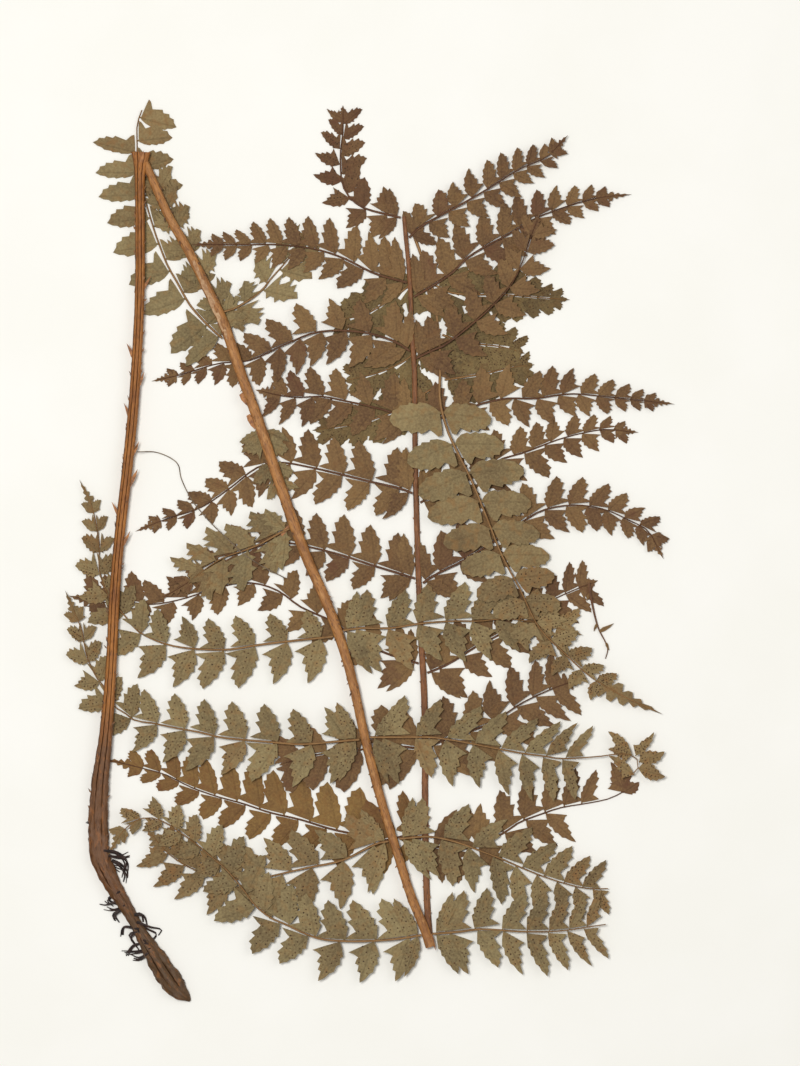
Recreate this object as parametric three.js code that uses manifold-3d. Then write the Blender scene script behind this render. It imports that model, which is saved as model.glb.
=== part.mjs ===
// A dried and pressed frond of the shield fern Polystichum tsaratananense.
// One frond about 1.25 m long, folded three times, so that it lies in four runs:
// the stalk going up, the lower midstem slanting down, the upper midstem going up, and the tip slanting down again.
// Millimetres. +X is to the right, +Y up the long side, +Z up from the surface that the frond lies on.

import * as THREE from "three";
import { mergeVertices } from "three/addons/utils/BufferGeometryUtils.js";
import Module from "manifold-3d";

const wasm = await Module();
wasm.setup();

// driving sizes of the leaflets
const BLADE = 0.6;            // thickness of a leaflet
const FULL_LEAFLET = 17.8;    // a leaflet at least this long has its full outline
const SMALL_LEAFLET = 11.5;   // a leaflet shorter than this is a plain pointed lobe
const BROAD = 0.9;            // width of a small leaflet as a part of its length
const SLENDER = 0.62;         // and of a full-grown one
const CURL = 0.22;            // how much a leaflet arches or lifts at its tip
const STALK_HALF = 0.45;      // half the width of the short stalk of a leaflet
const LEAN = 0.3;             // how far a leaflet leans toward the end of its rib, as a slope
const SEGMENT_LEAN = 0.21;    // the same for the lobed segments of the frond's tip
const LEAST = 0.93;           // the shortest of like leaflets, as a part of the length given
const SPREAD = 0.14;          // and how much longer the longest of them is
const CLOSED_UP = 1.02;       // widest that a leaflet may be, as a part of the room that it has
const SQUEEZE = 0.9;          // how much smaller a leaflet gets each time that it meets its neighbour
const ROUNDS = 30;            // how often that is tried

// driving sizes of the ribs
const RIB_HALF_ROOT = 0.6;    // half the width of a rib where it leaves the midstem
const RIB_HALF_END = 0.35;    // half the width of a rib near its end
const WING = 0.25;            // extra half width of the tip run, which is winged
const RIDGE = 0.4;            // height of the rib above the leaflets at its foot
const RIDGE_FALL = 0.6;       // how much of that height is gone at its end
const RIB_SPAN = 22;          // longest straight piece of a rib
const RIB_SAG = 0.25;         // how far a straight piece may stand off the bend that it stands for
const CLOSE_CORNER = 3;       // a corner of the rib nearer than this to a leaflet's foot is left out
const BARE_FOOT = 5.5;        // length of rib without leaflets next to the midstem
const CROWDING = 0.3;         // how much closer the leaflets stand near the end of a rib
const LAST_SPREAD = 0.97;     // where the last widening of a rib sits, unless its last leaflet is further out
const END_FLARE = 0.7;        // how much wider the rib is there, as its end is a leaflet of its own
const LAYER = 1.25;           // from one lying leaf to the next one over it

const MIDDLE = [-0.3, -3.03];  // middle of the lying frond, where the points below count from

// colours read by eye from the dried frond
const STALK_BROWN = "#96602f";
const LOWER_STEM_TAN = "#ad7448";
const UPPER_STEM_BROWN = "#7b4b33";
const BACK_GREY_GREEN = "#857a5c";
const FACE_BROWN = "#70583a";
const FACE_RED_BROWN = "#74502f";
const HIDDEN_OLIVE = "#7a6438";

// Leafy sprays, each from its foot at a stem to its tip. Points are read by hand.
// left and right: how many leaflets, where the first and last sit along the rib (0 to 1),
// and how long they are near the foot, half way and near the tip.
// levels: place along the rib and the layer that the spray lies in there.
const faceSprays = [
  { name: "upper_left_pinna_1",
    route: [[14.3, 140.5], [6, 142.5], [-2, 145], [-7, 149], [-10, 154], [-11, 161], [-11, 169],
      [-10, 177], [-10, 185]],
    left: [8, 0.1, 0.93, 11.5, 12, 7.5], right: [7, 0.06, 0.92, 12, 12, 9.5], levels: [[0, 1], [0.2, 0]] },
  { name: "upper_left_pinna_2",
    route: [[17, 113], [3, 117], [-9, 123], [-21, 127], [-37, 129], [-53, 129], [-66, 129], [-71.5, 129]],
    left: [10, 0.1, 0.88, 14.5, 12, 5], right: [11, 0.04, 0.88, 17.5, 13.5, 4],
    levels: [[0, 1], [0.8, 1], [0.93, 2]] },
  { name: "upper_left_pinna_3",
    route: [[18.3, 84], [12, 88], [-2, 92], [-21, 92], [-34, 87], [-50, 80], [-62, 79], [-79, 74], [-88, 72]],
    left: [12, 0.06, 0.93, 16, 14.5, 4], right: [11, 0.06, 0.92, 16, 14, 4],
    levels: [[0, 2], [0.52, 2], [0.62, 0]] },
  { name: "upper_left_pinna_4",
    route: [[19, 55], [8, 59], [-9, 63], [-20, 65], [-27, 64.5], [-35, 65], [-44, 67]],
    left: [7, 0.05, 0.88, 15, 14.5, 11], right: [6, 0.11, 0.84, 16, 14.5, 10], levels: [[0, 1]] },
  { name: "upper_left_pinna_5",
    route: [[19.4, 24], [14, 26], [1, 29], [-11, 32], [-24, 35], [-37, 37], [-46, 35], [-58, 26],
      [-70, 18], [-85, 13],
      [-95, 9]],
    left: [12, 0.05, 0.93, 15.5, 15, 4], right: [12, 0.04, 0.93, 17.5, 14.5, 4],
    levels: [[0, 2], [0.2, 2], [0.33, 0]] },
  { name: "upper_left_pinna_6",
    route: [[20.4, -12], [14, -10], [1, -6], [-11, -2], [-23, 1], [-33, 3], [-44, 2], [-53, -1],
      [-62, -4], [-70, -10],
      [-79, -16], [-86, -20]],
    left: [11, 0.04, 0.88, 14, 12.5, 4], right: [11, 0.04, 0.88, 18.5, 15, 5], levels: [[0, 1]] },
  { name: "upper_left_pinna_7",
    route: [[22, -48], [16, -46], [9, -44], [-3, -38], [-15, -30], [-28, -24], [-37, -17.5], [-45, -14.5],
      [-54, -14],
      [-66, -17], [-79, -21], [-91, -23], [-101, -22], [-113, -22], [-123, -20]],
    left: [12, 0.03, 0.92, 16, 12, 8], right: [13, 0.03, 0.93, 14.5, 12.5, 13.5], levels: [[0, 0]] },
  { name: "upper_left_pinna_8",
    route: [[23, -84], [14, -83], [1, -84], [-11, -85], [-24, -87], [-34, -90]],
    left: [4, 0.15, 0.9, 19, 17.5, 13.5], right: [4, 0.15, 0.9, 17.5, 17, 13.5], levels: [[0, 1]] },
  { name: "upper_left_pinna_9", red: true,
    route: [[23, -122], [16, -121], [6, -123], [-1, -121], [-15, -118], [-28, -114], [-41, -111], [-53, -107],
      [-64, -104], [-75, -100], [-85, -95], [-96, -92], [-108, -89]],
    left: [11, 0.1, 0.9, 14.5, 14.5, 5], right: [12, 0.08, 0.9, 19.5, 18.5, 6], levels: [[0, 0]] },
  { name: "upper_right_pinna_1",
    route: [[17.9, 132], [22, 136], [27, 139], [40, 146], [52, 153], [65, 161], [76, 166], [83, 173]],
    left: [10, 0.08, 0.9, 10, 12, 5], right: [9, 0.14, 0.9, 11, 11.5, 6], levels: [[0, 1], [0.25, 2]] },
  { name: "upper_right_pinna_2",
    route: [[20, 107], [27, 111], [36, 117], [42, 123], [48, 127], [61, 134], [71, 140], [84, 145], [99, 149],
      [109, 150]],
    left: [11, 0.06, 0.88, 16, 14, 4], right: [11, 0.06, 0.88, 15, 12.5, 4], levels: [[0, 1]] },
  { name: "upper_right_pinna_3",
    route: [[21, 81], [27, 84], [32, 86], [44, 95], [53, 103], [61, 112], [66, 122], [69, 131], [72, 139]],
    left: [8, 0.08, 0.92, 14.5, 12.5, 8.5], right: [8, 0.08, 0.92, 15, 14.5, 9.5], levels: [[0, 1], [0.25, 2]] },
  { name: "upper_right_pinna_4",
    route: [[22, 52], [28, 55], [40, 58], [46, 61], [59, 64], [71, 64], [86, 66], [99, 65], [109, 64],
      [118, 63],
      [127, 62]],
    left: [12, 0.06, 0.91, 16, 13.5, 4], right: [9, 0.3, 0.91, 14, 12, 4], levels: [[0, 1]] },
  { name: "upper_right_pinna_5",
    route: [[22.7, 20], [28, 23], [33, 25], [44, 30], [56, 38], [66, 41], [82, 47], [94, 50], [101, 51],
      [112, 50]],
    left: [11, 0.06, 0.92, 14.5, 12, 5], right: [10, 0.06, 0.93, 14.5, 14, 6], levels: [[0, 0]] },
  { name: "upper_right_pinna_6",
    route: [[23.8, -14], [28, -11], [40, -5], [56, 5], [69, 14], [75, 17], [88, 19], [101, 17], [110, 13],
      [119, 8],
      [124, -1]],
    left: [12, 0.075, 0.93, 16.5, 15, 6], right: [12, 0.05, 0.93, 14.5, 14, 6], levels: [[0, 1]] },
  { name: "upper_right_pinna_7",
    route: [[25.7, -52], [33, -49], [40, -45], [46, -41], [52, -38], [61, -33], [69, -27], [75, -23], [83, -19],
      [90, -16], [95, -14]],
    left: [9, 0.06, 0.93, 15, 15, 11], right: [9, 0.06, 0.93, 16, 16, 12], levels: [[0, 0]],
    twig: [[94, -14], [95, -21], [98, -33], [101, -39], [102, -42], [101, -46]] },
  { name: "upper_right_pinna_8",
    route: [[26.5, -83], [33, -80], [42, -77], [48, -75], [53, -73], [59, -69], [65, -65], [73, -61], [80, -58],
      [89, -55]],
    left: [6, 0.08, 0.82, 17, 17.5, 13], right: [6, 0.08, 0.84, 21, 18.5, 14], levels: [[0, 1]] },
  { name: "upper_right_pinna_9",
    route: [[26.8, -125], [33, -126], [44, -126], [52, -123], [59, -119], [65, -115], [73, -112],
      [82, -109], [94, -107],
      [103, -105], [109, -102]],
    left: [7, 0.1, 0.9, 18, 17.5, 11], right: [5, 0.08, 0.6, 14.5, 17, 17], levels: [[0, 0]] },
];

// the first pairs of the tip run, hidden for the most part under the leaves above
const hiddenSprays = [
  { name: "tip_left_pinna_1", route: [[22, 118], [18, 112], [10, 106], [0, 100], [-13, 97]],
    left: [3, 0.25, 0.88, 12, 11, 7], right: [3, 0.25, 0.88, 12, 11, 7], levels: [[0, 0]] },
  { name: "tip_left_pinna_2", route: [[28.5, 93], [24, 87], [16, 80], [5, 75], [-7, 72]],
    left: [3, 0.3, 0.88, 9, 9, 6], right: [3, 0.25, 0.88, 11, 11, 7], levels: [[0, 0]] },
  { name: "tip_left_pinna_3", route: [[29.5, 69], [24, 66], [16, 61], [5, 56], [-7, 53], [-20, 51]],
    left: [4, 0.25, 0.9, 11, 10, 6], right: [4, 0.3, 0.9, 9, 10, 6], levels: [[0, 0]] },
  { name: "tip_right_pinna_1", route: [[29, 112], [35, 109], [45, 108], [57, 108], [70, 107], [83, 106]],
    left: [5, 0.2, 0.92, 13, 12, 5], right: [5, 0.2, 0.92, 12, 12, 5], levels: [[0, 0]] },
  { name: "tip_right_pinna_2", route: [[32, 91], [38, 89], [48, 87], [57, 86], [64, 84]],
    left: [3, 0.25, 0.88, 9, 9, 6], right: [3, 0.25, 0.88, 8, 7, 5], levels: [[0, 0]] },
  { name: "tip_right_pinna_3", route: [[33, 72], [40, 73], [52, 75], [60, 77], [68, 78]],
    left: [3, 0.25, 0.88, 6, 6, 5], right: [3, 0.25, 0.88, 10, 10, 6], levels: [[0, 0]] },
];

const backSprays = [
  { name: "lower_hidden_pinna", route: [[-43, 52], [-43, 46], [-41.5, 38], [-39, 30], [-37, 25]],
    left: [3, 0.15, 0.85, 11, 11, 9], right: [3, 0.15, 0.85, 11, 10, 7], levels: [[0, 1]] },
  { name: "lower_left_pinna_1",
    route: [[-61, 89.5], [-65, 93], [-70, 98], [-75, 104], [-80, 113], [-84, 120], [-88, 130], [-91, 139],
      [-93, 146],
      [-95, 154], [-97, 163], [-97, 171], [-97, 180], [-95, 186]],
    left: [9, 0.08, 0.9, 17.5, 19.5, 16], right: [9, 0.08, 0.92, 13.5, 14.5, 14], levels: [[0, 2], [0.1, 0]] },
  { name: "lower_left_pinna_2",
    route: [[-61, 97], [-65, 107], [-72, 122], [-80, 136], [-87, 150], [-91, 158]],
    left: [5, 0.3, 0.9, 8.5, 9, 8], right: [6, 0.12, 0.9, 11, 9, 11], levels: [[0, 1]] },
  { name: "lower_right_pinna_1",
    route: [[-60.6, 100.5], [-56, 102], [-49, 106], [-44, 110], [-41, 114], [-34, 122], [-29, 129], [-26, 134]],
    left: [4, 0.2, 0.85, 7.5, 11, 9], right: [4, 0.12, 0.8, 11, 15, 11], levels: [[0, 2], [0.3, 1], [0.6, 0]] },
  { name: "lower_left_pinna_3",
    route: [[-32.5, 9], [-37, 7], [-44, 3], [-51, 0], [-60, -3], [-68, -8], [-73, -12]],
    left: [4, 0.15, 0.85, 15, 18, 11], right: [5, 0.1, 0.88, 12.5, 17, 13], levels: [[0, 2]] },
  { name: "lower_left_pinna_4",
    route: [[-14, -36.5], [-18, -37], [-28, -38], [-45, -40], [-58, -42], [-68, -42], [-79, -41],
      [-87, -39], [-97, -34],
      [-102, -28], [-108, -21], [-111, -15], [-113, -8], [-113, 2], [-115, 14], [-117, 21], [-120, 27]],
    left: [13, 0.03, 0.92, 18, 17.5, 4], right: [13, 0.03, 0.92, 12.5, 15, 4],
    levels: [[0, 2], [0.5, 2], [0.59, 1]] },
  { name: "lower_right_pinna_4",
    route: [[-9.8, -34], [-3, -33], [10, -33], [23, -31], [37, -30], [48, -30], [59, -29], [73, -31],
      [88, -35]],
    left: [9, 0.05, 0.92, 16, 17.5, 11], right: [9, 0.05, 0.92, 19.5, 17, 11], levels: [[0, 2]] },
  { name: "lower_left_pinna_5",
    route: [[-3, -80], [-15, -81], [-28, -82], [-41, -81], [-53, -80], [-62, -79], [-70, -77], [-81, -75],
      [-91, -73],
      [-98, -72], [-102, -69], [-108, -65], [-111, -58], [-114, -54], [-117, -48], [-119, -41], [-120, -35],
      [-123, -27], [-126, -20]],
    left: [13, 0.03, 0.93, 18.5, 17, 5], right: [13, 0.035, 0.93, 16, 16, 5],
    levels: [[0, 3], [0.5, 3], [0.62, 1], [0.76, 1], [0.84, 2]] },
  { name: "lower_right_pinna_5",
    route: [[1.6, -79], [14, -79], [27, -79], [35, -80], [46, -82], [56, -84], [67, -86], [75, -87],
      [82, -88], [99, -87],
      [107, -86], [113, -87], [115, -91], [112, -95]],
    left: [8, 0.03, 0.68, 19.5, 18.5, 17.5], right: [8, 0.03, 0.67, 19, 19, 16], levels: [[0, 3]],
    sprigs: [[[112, -86.5], [106, -77]], [[113.5, -87], [120, -78]], [[115, -89.5], [124, -85]],
      [[115, -91], [124, -95]], [[113, -94], [104, -90]]] },
  { name: "lower_left_pinna_6",
    route: [[9.3, -123], [4, -124], [0, -126], [-10, -131], [-24, -134], [-33, -136], [-42, -138], [-53, -139],
      [-64, -138], [-70, -136], [-75, -134], [-80, -131], [-85, -127], [-91, -120]],
    left: [9, 0.06, 0.9, 20.5, 18.5, 13], right: [10, 0.05, 0.92, 17, 18.5, 10], levels: [[0, 2]] },
  { name: "lower_right_pinna_6",
    route: [[13.8, -122], [25, -121], [33, -122], [40, -124], [48, -127], [56, -130], [65, -134],
      [75, -138], [88, -142],
      [94, -143], [102, -143]],
    left: [8, 0.05, 0.88, 17.5, 17.5, 14], right: [9, 0.03, 0.93, 20, 19.5, 11], levels: [[0, 2]] },
  { name: "lower_left_pinna_7",
    route: [[23.2, -162.5], [14, -164], [1, -165], [-11, -165], [-20, -164], [-28, -161], [-34, -158],
      [-39, -156],
      [-46, -151], [-53, -142], [-59, -135], [-66, -129], [-72, -124], [-79, -119], [-85, -115], [-91, -113],
      [-97, -114], [-103, -119], [-108, -127]],
    left: [13, 0.02, 0.93, 18, 17, 4], right: [14, 0.02, 0.93, 18.5, 17.5, 5], levels: [[0, 3], [0.85, 3], [0.97, 2]] },
  { name: "lower_right_pinna_7",
    route: [[27.8, -162], [40, -161], [48, -160], [65, -161], [78, -161], [88, -160], [94, -159], [101, -158]],
    left: [7, 0.06, 0.89, 18.5, 19.5, 15], right: [7, 0.1, 0.87, 17.5, 19, 16], levels: [[0, 3]] },
];

const frondTip = {
  name: "frond_tip",
  route: [[18, 139], [20, 133], [23, 125], [26, 116], [29, 106], [30, 95], [31, 85], [31, 74], [31, 63], [34, 51],
    [37, 44], [44, 30], [51, 13], [57, -2], [65, -17], [73, -33], [84, -44], [94, -53], [107, -61], [122, -68]],
  left: [14, 0.34, 0.96, 18, 22, 4], right: [14, 0.34, 0.96, 18, 22, 4],
  levels: [[0, 0], [0.24, 0], [0.32, 3], [0.85, 3], [0.95, 2]], leafy: true };

// how a width or a length runs from foot over middle to tip of a spray
function along(foot, middle, tip, t) {
  if (t < 0.5) return THREE.MathUtils.lerp(foot, middle, t * 2);
  return THREE.MathUtils.lerp(middle, tip, (t - 0.5) * 2);
}

function levelAt(levels, t) {
  let before = levels[0];
  for (const next of levels) {
    if (t < next[0]) {
      const step = THREE.MathUtils.smoothstep(t, before[0], next[0]);
      return LAYER * THREE.MathUtils.lerp(before[1], next[1], step);
    }
    before = next;
  }
  return LAYER * before[1];
}

// A difference for each leaflet between 0 and 1, from a wave, so that it is the same on every run.
function vary(seed) {
  const wave = Math.sin(seed * 12.9898 + 4.1) * 43758.5453;
  return wave - Math.floor(wave);
}

function courseOf(route) {
  const points = route.map(([x, y]) => new THREE.Vector3(x, y, 0));
  return new THREE.CatmullRomCurve3(points, false, "centripetal");
}

// Places along a rib where it needs a corner, so that straight pieces follow its bends and its rise.
function cornersOf(spec, course) {
  const whole = course.getLength();
  const steps = Math.ceil(whole);
  const placeAt = (t) => course.getPointAt(t).setZ(levelAt(spec.levels, t));
  const corners = [0];
  for (let i = 2; i < steps; i += 1) {
    const last = corners[corners.length - 1];
    const chord = new THREE.Line3(placeAt(last), placeAt(i / steps));
    const middle = placeAt((last + i / steps) / 2);
    const sag = middle.distanceTo(chord.closestPointToPoint(middle, true, new THREE.Vector3()));
    if (sag > RIB_SAG || (i / steps - last) * whole > RIB_SPAN) corners.push((i - 1) / steps);
  }
  corners.push(1);
  return corners;
}

// more than 0 where c lies on the left of the line from a to b
function sideOf(a, b, c) {
  return (b.x - a.x) * (c.y - a.y) - (b.y - a.y) * (c.x - a.x);
}

function edgesCross(a, b, c, d) {
  return sideOf(a, b, c) * sideOf(a, b, d) < 0 && sideOf(c, d, a) * sideOf(c, d, b) < 0;
}

function outlinesCross(first, second) {
  for (let i = 0; i + 1 < first.length; i += 1) {
    for (let k = 0; k + 1 < second.length; k += 1) {
      if (edgesCross(first[i], first[i + 1], second[k], second[k + 1])) return true;
    }
  }
  return false;
}

// Outline of one leaflet, which hangs on the rib by its near corner: along the smooth near edge to the tip,
// and back over the far edge to the lobe beside the rib.
// Each point: how far out, how far along the rib, and how high over the spray.
function leafletOutline(length, width, seed) {
  const lift = CURL * vary(seed + 0.5);
  const tip = [length, 0.3 * width, lift];
  const lobe = [0.24 * length, 0.86 * width, lift];
  if (length < SMALL_LEAFLET) return [[0.4 * length, -0.16 * width, 0], tip, [0.3 * length, 0.74 * width, 0]];
  if (length < FULL_LEAFLET) {
    return [[0.28 * length, -0.14 * width, 0], [0.7 * length, -0.08 * width, CURL], tip, lobe];
  }
  return [
    [0.2 * length, -0.16 * width, 0],
    [0.62 * length, -0.17 * width, CURL],
    tip,
    [0.62 * length, 0.66 * width, CURL],
    lobe,
  ];
}

// Outline of one broad lobed segment near the tip of the frond.
function segmentOutline(length, width, seed) {
  if (length < FULL_LEAFLET) return leafletOutline(length, width, seed);
  return [
    [0.14 * length, -0.42 * width, 0],
    [0.46 * length, -0.46 * width, CURL],
    [0.5 * length, -0.32 * width, CURL],
    [length, 0.02 * width, CURL * vary(seed)],
    [0.66 * length, 0.34 * width, CURL],
    [0.42 * length, 0.3 * width, CURL],
    [0.2 * length, 0.54 * width, 0],
  ];
}

// The leaflets of one side of a spray: side is 1 on the right of the rib and -1 on its left.
// Where two of them would cross, neighbours get narrower and others shorter.
function leafletsOf(spec, course, side, order) {
  const [count, first, last, foot, middle, tip] = side > 0 ? spec.right : spec.left;
  const whole = course.getLength();
  const start = Math.max(first, BARE_FOOT / whole);
  const leaflets = [];
  for (let i = 0; i < count; i += 1) {
    const share = i / (count - 1);
    const t = THREE.MathUtils.lerp(start, last, share * (1 + CROWDING * (1 - share)));
    const seed = order * 31 + i * 2 + (side > 0 ? 1 : 0);
    const room = whole * (last - start) / (count - 1) * (1 + CROWDING * (1 - 2 * share));
    const length = along(foot, middle, tip, t) * (LEAST + SPREAD * vary(seed));
    const slim = THREE.MathUtils.smoothstep(length, 0.8 * SMALL_LEAFLET, 0.9 * FULL_LEAFLET);
    const width = Math.min(length * THREE.MathUtils.lerp(BROAD, SLENDER, slim), room * CLOSED_UP);
    leaflets.push({ t, seed, length, width, side });
  }
  for (let round = 0; round < ROUNDS; round += 1) {
    for (const leaflet of leaflets) drawLeaflet(leaflet, spec, course, whole);
    let tight = 0;
    leaflets.forEach((leaflet, i) => {
      leaflets.slice(0, i).forEach((before, k) => {
        if (!outlinesCross(leaflet.line, before.line)) return;
        tight += 1;
        for (const crowded of [leaflet, before]) {
          if (i - k === 1) crowded.width *= SQUEEZE;
          else crowded.length *= SQUEEZE;
        }
      });
    });
    if (tight === 0) break;
  }
  return leaflets;
}

function drawLeaflet(leaflet, spec, course, whole) {
  const { t, seed, length, width, side } = leaflet;
  const tangent = course.getTangentAt(t);
  const out = new THREE.Vector3(tangent.y, -tangent.x, 0).multiplyScalar(side);
  const half = STALK_HALF / whole;
  const slope = (spec.leafy ? SEGMENT_LEAN : LEAN) * (0.8 + 0.4 * vary(seed + 0.25));
  const axis = out.clone().addScaledVector(tangent, slope).normalize();
  const foot = course.getPointAt(t);
  const base = levelAt(spec.levels, t);
  const shape = spec.leafy ? segmentOutline : leafletOutline;
  const outline = shape(length, width, seed);
  leaflet.near = ribEdge(spec, course, t - half, side);
  leaflet.far = ribEdge(spec, course, t + half, side);
  leaflet.points = outline.map(([u, v, lift]) => {
    const place = foot.clone().addScaledVector(axis, u).addScaledVector(tangent, v);
    place.z = base + lift;
    return place;
  });
  leaflet.line = [leaflet.near, ...leaflet.points, leaflet.far];
}

function ribEdge(spec, course, t, side) {
  const tangent = course.getTangentAt(t);
  const out = new THREE.Vector3(tangent.y, -tangent.x, 0).multiplyScalar(side);
  const half = THREE.MathUtils.lerp(RIB_HALF_ROOT, RIB_HALF_END, t) + (spec.leafy ? WING : 0);
  const place = course.getPointAt(t).addScaledVector(out, half);
  place.z = levelAt(spec.levels, t);
  place.t = t;
  return place;
}

// One leafy spray as a closed body: a strip with a ridge for the rib and a blade for each leaflet.
// The upper and the lower skin of every blade are split into the same triangles.
function sprayBody(spec, order) {
  const course = courseOf(spec.route);
  const corners = cornersOf(spec, course);
  const close = CLOSE_CORNER / course.getLength();
  const places = [];
  const faces = [];
  const put = (place, z) => places.push(new THREE.Vector3(place.x, place.y, z)) - 1;
  const pair = (place) => ({ t: place.t, at: place, foot: put(place, place.z), top: put(place, place.z + BLADE) });
  const wall = (a, b) => faces.push([a.foot, b.foot, b.top], [a.foot, b.top, a.top]);
  const end = course.getPointAt(1);
  end.t = 1;
  end.z = levelAt(spec.levels, 1);
  const endPair = pair(end);

  const edges = [1, -1].map((side) => {
    const leaflets = leafletsOf(spec, course, side, order);
    const last = leaflets[leaflets.length - 1].t;
    const edge = [pair(ribEdge(spec, course, 0, side))];
    const addCorners = (from, to) => {
      for (const t of corners) if (t > from && t < to) edge.push(pair(ribEdge(spec, course, t, side)));
    };
    for (const leaflet of leaflets) {
      addCorners(edge[edge.length - 1].t + close, leaflet.near.t - close);
      const near = pair(leaflet.near);
      const far = pair(leaflet.far);
      const points = leaflet.points.map(pair);
      const ring = side > 0 ? [near, ...points, far] : [far, ...points.reverse(), near];
      addBlade(ring, faces, wall);
      far.carries = true;
      edge.push(near, far);
    }
    const leafyEnd = ribEdge(spec, course, Math.max(LAST_SPREAD, (last + 1) / 2), side);
    addCorners(last + close, leafyEnd.t - close);
    const sideways = leafyEnd.clone().sub(course.getPointAt(leafyEnd.t)).setZ(0).normalize();
    leafyEnd.addScaledVector(sideways, END_FLARE);
    edge.push(pair(leafyEnd), endPair);
    for (let i = 0; i + 1 < edge.length; i += 1) {
      if (edge[i + 1].carries) continue;
      if (side > 0) wall(edge[i], edge[i + 1]);
      else wall(edge[i + 1], edge[i]);
    }
    return edge;
  });

  const ridge = corners.slice(0, -1).map((t) => {
    const top = levelAt(spec.levels, t) + BLADE + RIDGE * (1 - RIDGE_FALL * t);
    return { t, top: put(course.getPointAt(t), top) };
  });
  ridge.push(endPair);
  const [rightEdge, leftEdge] = edges;
  zip(rightEdge, ridge, "top", faces);
  zip(ridge, leftEdge, "top", faces);
  const lower = [];
  zip(rightEdge, leftEdge, "foot", lower);
  for (const [a, b, c] of lower) faces.push([a, c, b]);
  faces.push([leftEdge[0].foot, rightEdge[0].foot, rightEdge[0].top]);
  faces.push([leftEdge[0].foot, rightEdge[0].top, ridge[0].top]);
  faces.push([leftEdge[0].foot, ridge[0].top, leftEdge[0].top]);
  return geometryOf(places, faces);
}

function addBlade(ring, faces, wall) {
  const plan = ring.map((corner) => new THREE.Vector2(corner.at.x, corner.at.y));
  for (const [a, b, c] of THREE.ShapeUtils.triangulateShape(plan, [])) {
    const turned = sideOf(plan[a], plan[b], plan[c]) > 0;
    const [p, q, r] = turned ? [ring[a], ring[b], ring[c]] : [ring[a], ring[c], ring[b]];
    faces.push([p.top, q.top, r.top], [p.foot, r.foot, q.foot]);
  }
  for (let i = 0; i + 1 < ring.length; i += 1) wall(ring[i], ring[i + 1]);
}

// Triangles between two lines that run side by side, seen from above.
function zip(right, left, skin, faces) {
  let r = 0;
  let l = 0;
  while (r < right.length - 1 || l < left.length - 1) {
    const onRight = l === left.length - 1 || (r < right.length - 1 && right[r + 1].t <= left[l + 1].t);
    const corners = [left[l], right[r], onRight ? right[r + 1] : left[l + 1]].map((corner) => corner[skin]);
    if (new Set(corners).size === 3) faces.push(corners);
    if (onRight) r += 1;
    else l += 1;
  }
}

function geometryOf(places, faces) {
  const geometry = new THREE.BufferGeometry();
  const flat = places.flatMap((place) => [place.x, place.y, place.z]);
  geometry.setAttribute("position", new THREE.Float32BufferAttribute(flat, 3));
  geometry.setIndex(faces.flat());
  return geometry;
}

// Cross-sections of the stems: half widths and heights of 1.
const GROOVED = [[-0.55, 0], [0.55, 0], [1, 0.42], [0.78, 0.86], [0.3, 1], [0.02, 0.8], [-0.3, 1], [-0.78, 0.86],
  [-1, 0.42]];
const ROUNDED = [[-0.5, 0], [0.5, 0], [1, 0.45], [0.6, 0.92], [0, 1], [-0.6, 0.92], [-1, 0.45]];
const STRAND = [[0, 0], [1, 0.5], [0, 1], [-1, 0.5]];

// A stem through stations [x, y, width, height, lowest z], with one cross-section at each.
function stemBody(stations, section) {
  const places = [];
  const faces = [];
  const sides = section.length;
  stations.forEach(([x, y, width, height, low], i) => {
    const before = stations[Math.max(0, i - 1)];
    const after = stations[Math.min(stations.length - 1, i + 1)];
    const tangent = new THREE.Vector2(after[0] - before[0], after[1] - before[1]).normalize();
    for (const [u, v] of section) {
      places.push(new THREE.Vector3(x + tangent.y * u * width / 2, y - tangent.x * u * width / 2, low + v * height));
    }
  });
  for (let i = 0; i + 1 < stations.length; i += 1) {
    for (let k = 0; k < sides; k += 1) {
      const [a, b] = [i * sides + k, i * sides + (k + 1) % sides];
      faces.push([a, b, b + sides], [a, b + sides, a + sides]);
    }
  }
  const flat = section.map(([u, v]) => new THREE.Vector2(u, v));
  const lastRing = (stations.length - 1) * sides;
  for (const [a, b, c] of THREE.ShapeUtils.triangulateShape(flat, [])) {
    const [p, q, r] = sideOf(flat[a], flat[b], flat[c]) > 0 ? [a, b, c] : [a, c, b];
    faces.push([p, r, q], [lastRing + p, lastRing + q, lastRing + r]);
  }
  return outward(geometryOf(places, faces));
}

function outward(geometry) {
  if (volumeOf(geometry) > 0) return geometry;
  const index = geometry.getIndex();
  for (let i = 0; i < index.count; i += 3) {
    const kept = index.getX(i + 1);
    index.setX(i + 1, index.getX(i + 2));
    index.setX(i + 2, kept);
  }
  return geometry;
}

function volumeOf(geometry) {
  const index = geometry.getIndex();
  const at = geometry.getAttribute("position");
  const [a, b, c] = [new THREE.Vector3(), new THREE.Vector3(), new THREE.Vector3()];
  let sum = 0;
  for (let i = 0; i < index.count; i += 3) {
    a.fromBufferAttribute(at, index.getX(i));
    b.fromBufferAttribute(at, index.getX(i + 1));
    c.fromBufferAttribute(at, index.getX(i + 2));
    sum += a.dot(b.cross(c)) / 6;
  }
  return sum;
}

function solidOf(geometry) {
  const bare = geometry.clone();
  bare.deleteAttribute("normal");
  bare.deleteAttribute("uv");
  const welded = mergeVertices(bare, 1e-4);
  return new wasm.Manifold(new wasm.Mesh({
    numProp: 3,
    vertProperties: Float32Array.from(welded.getAttribute("position").array),
    triVerts: Uint32Array.from(welded.getIndex().array),
  }));
}

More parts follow.
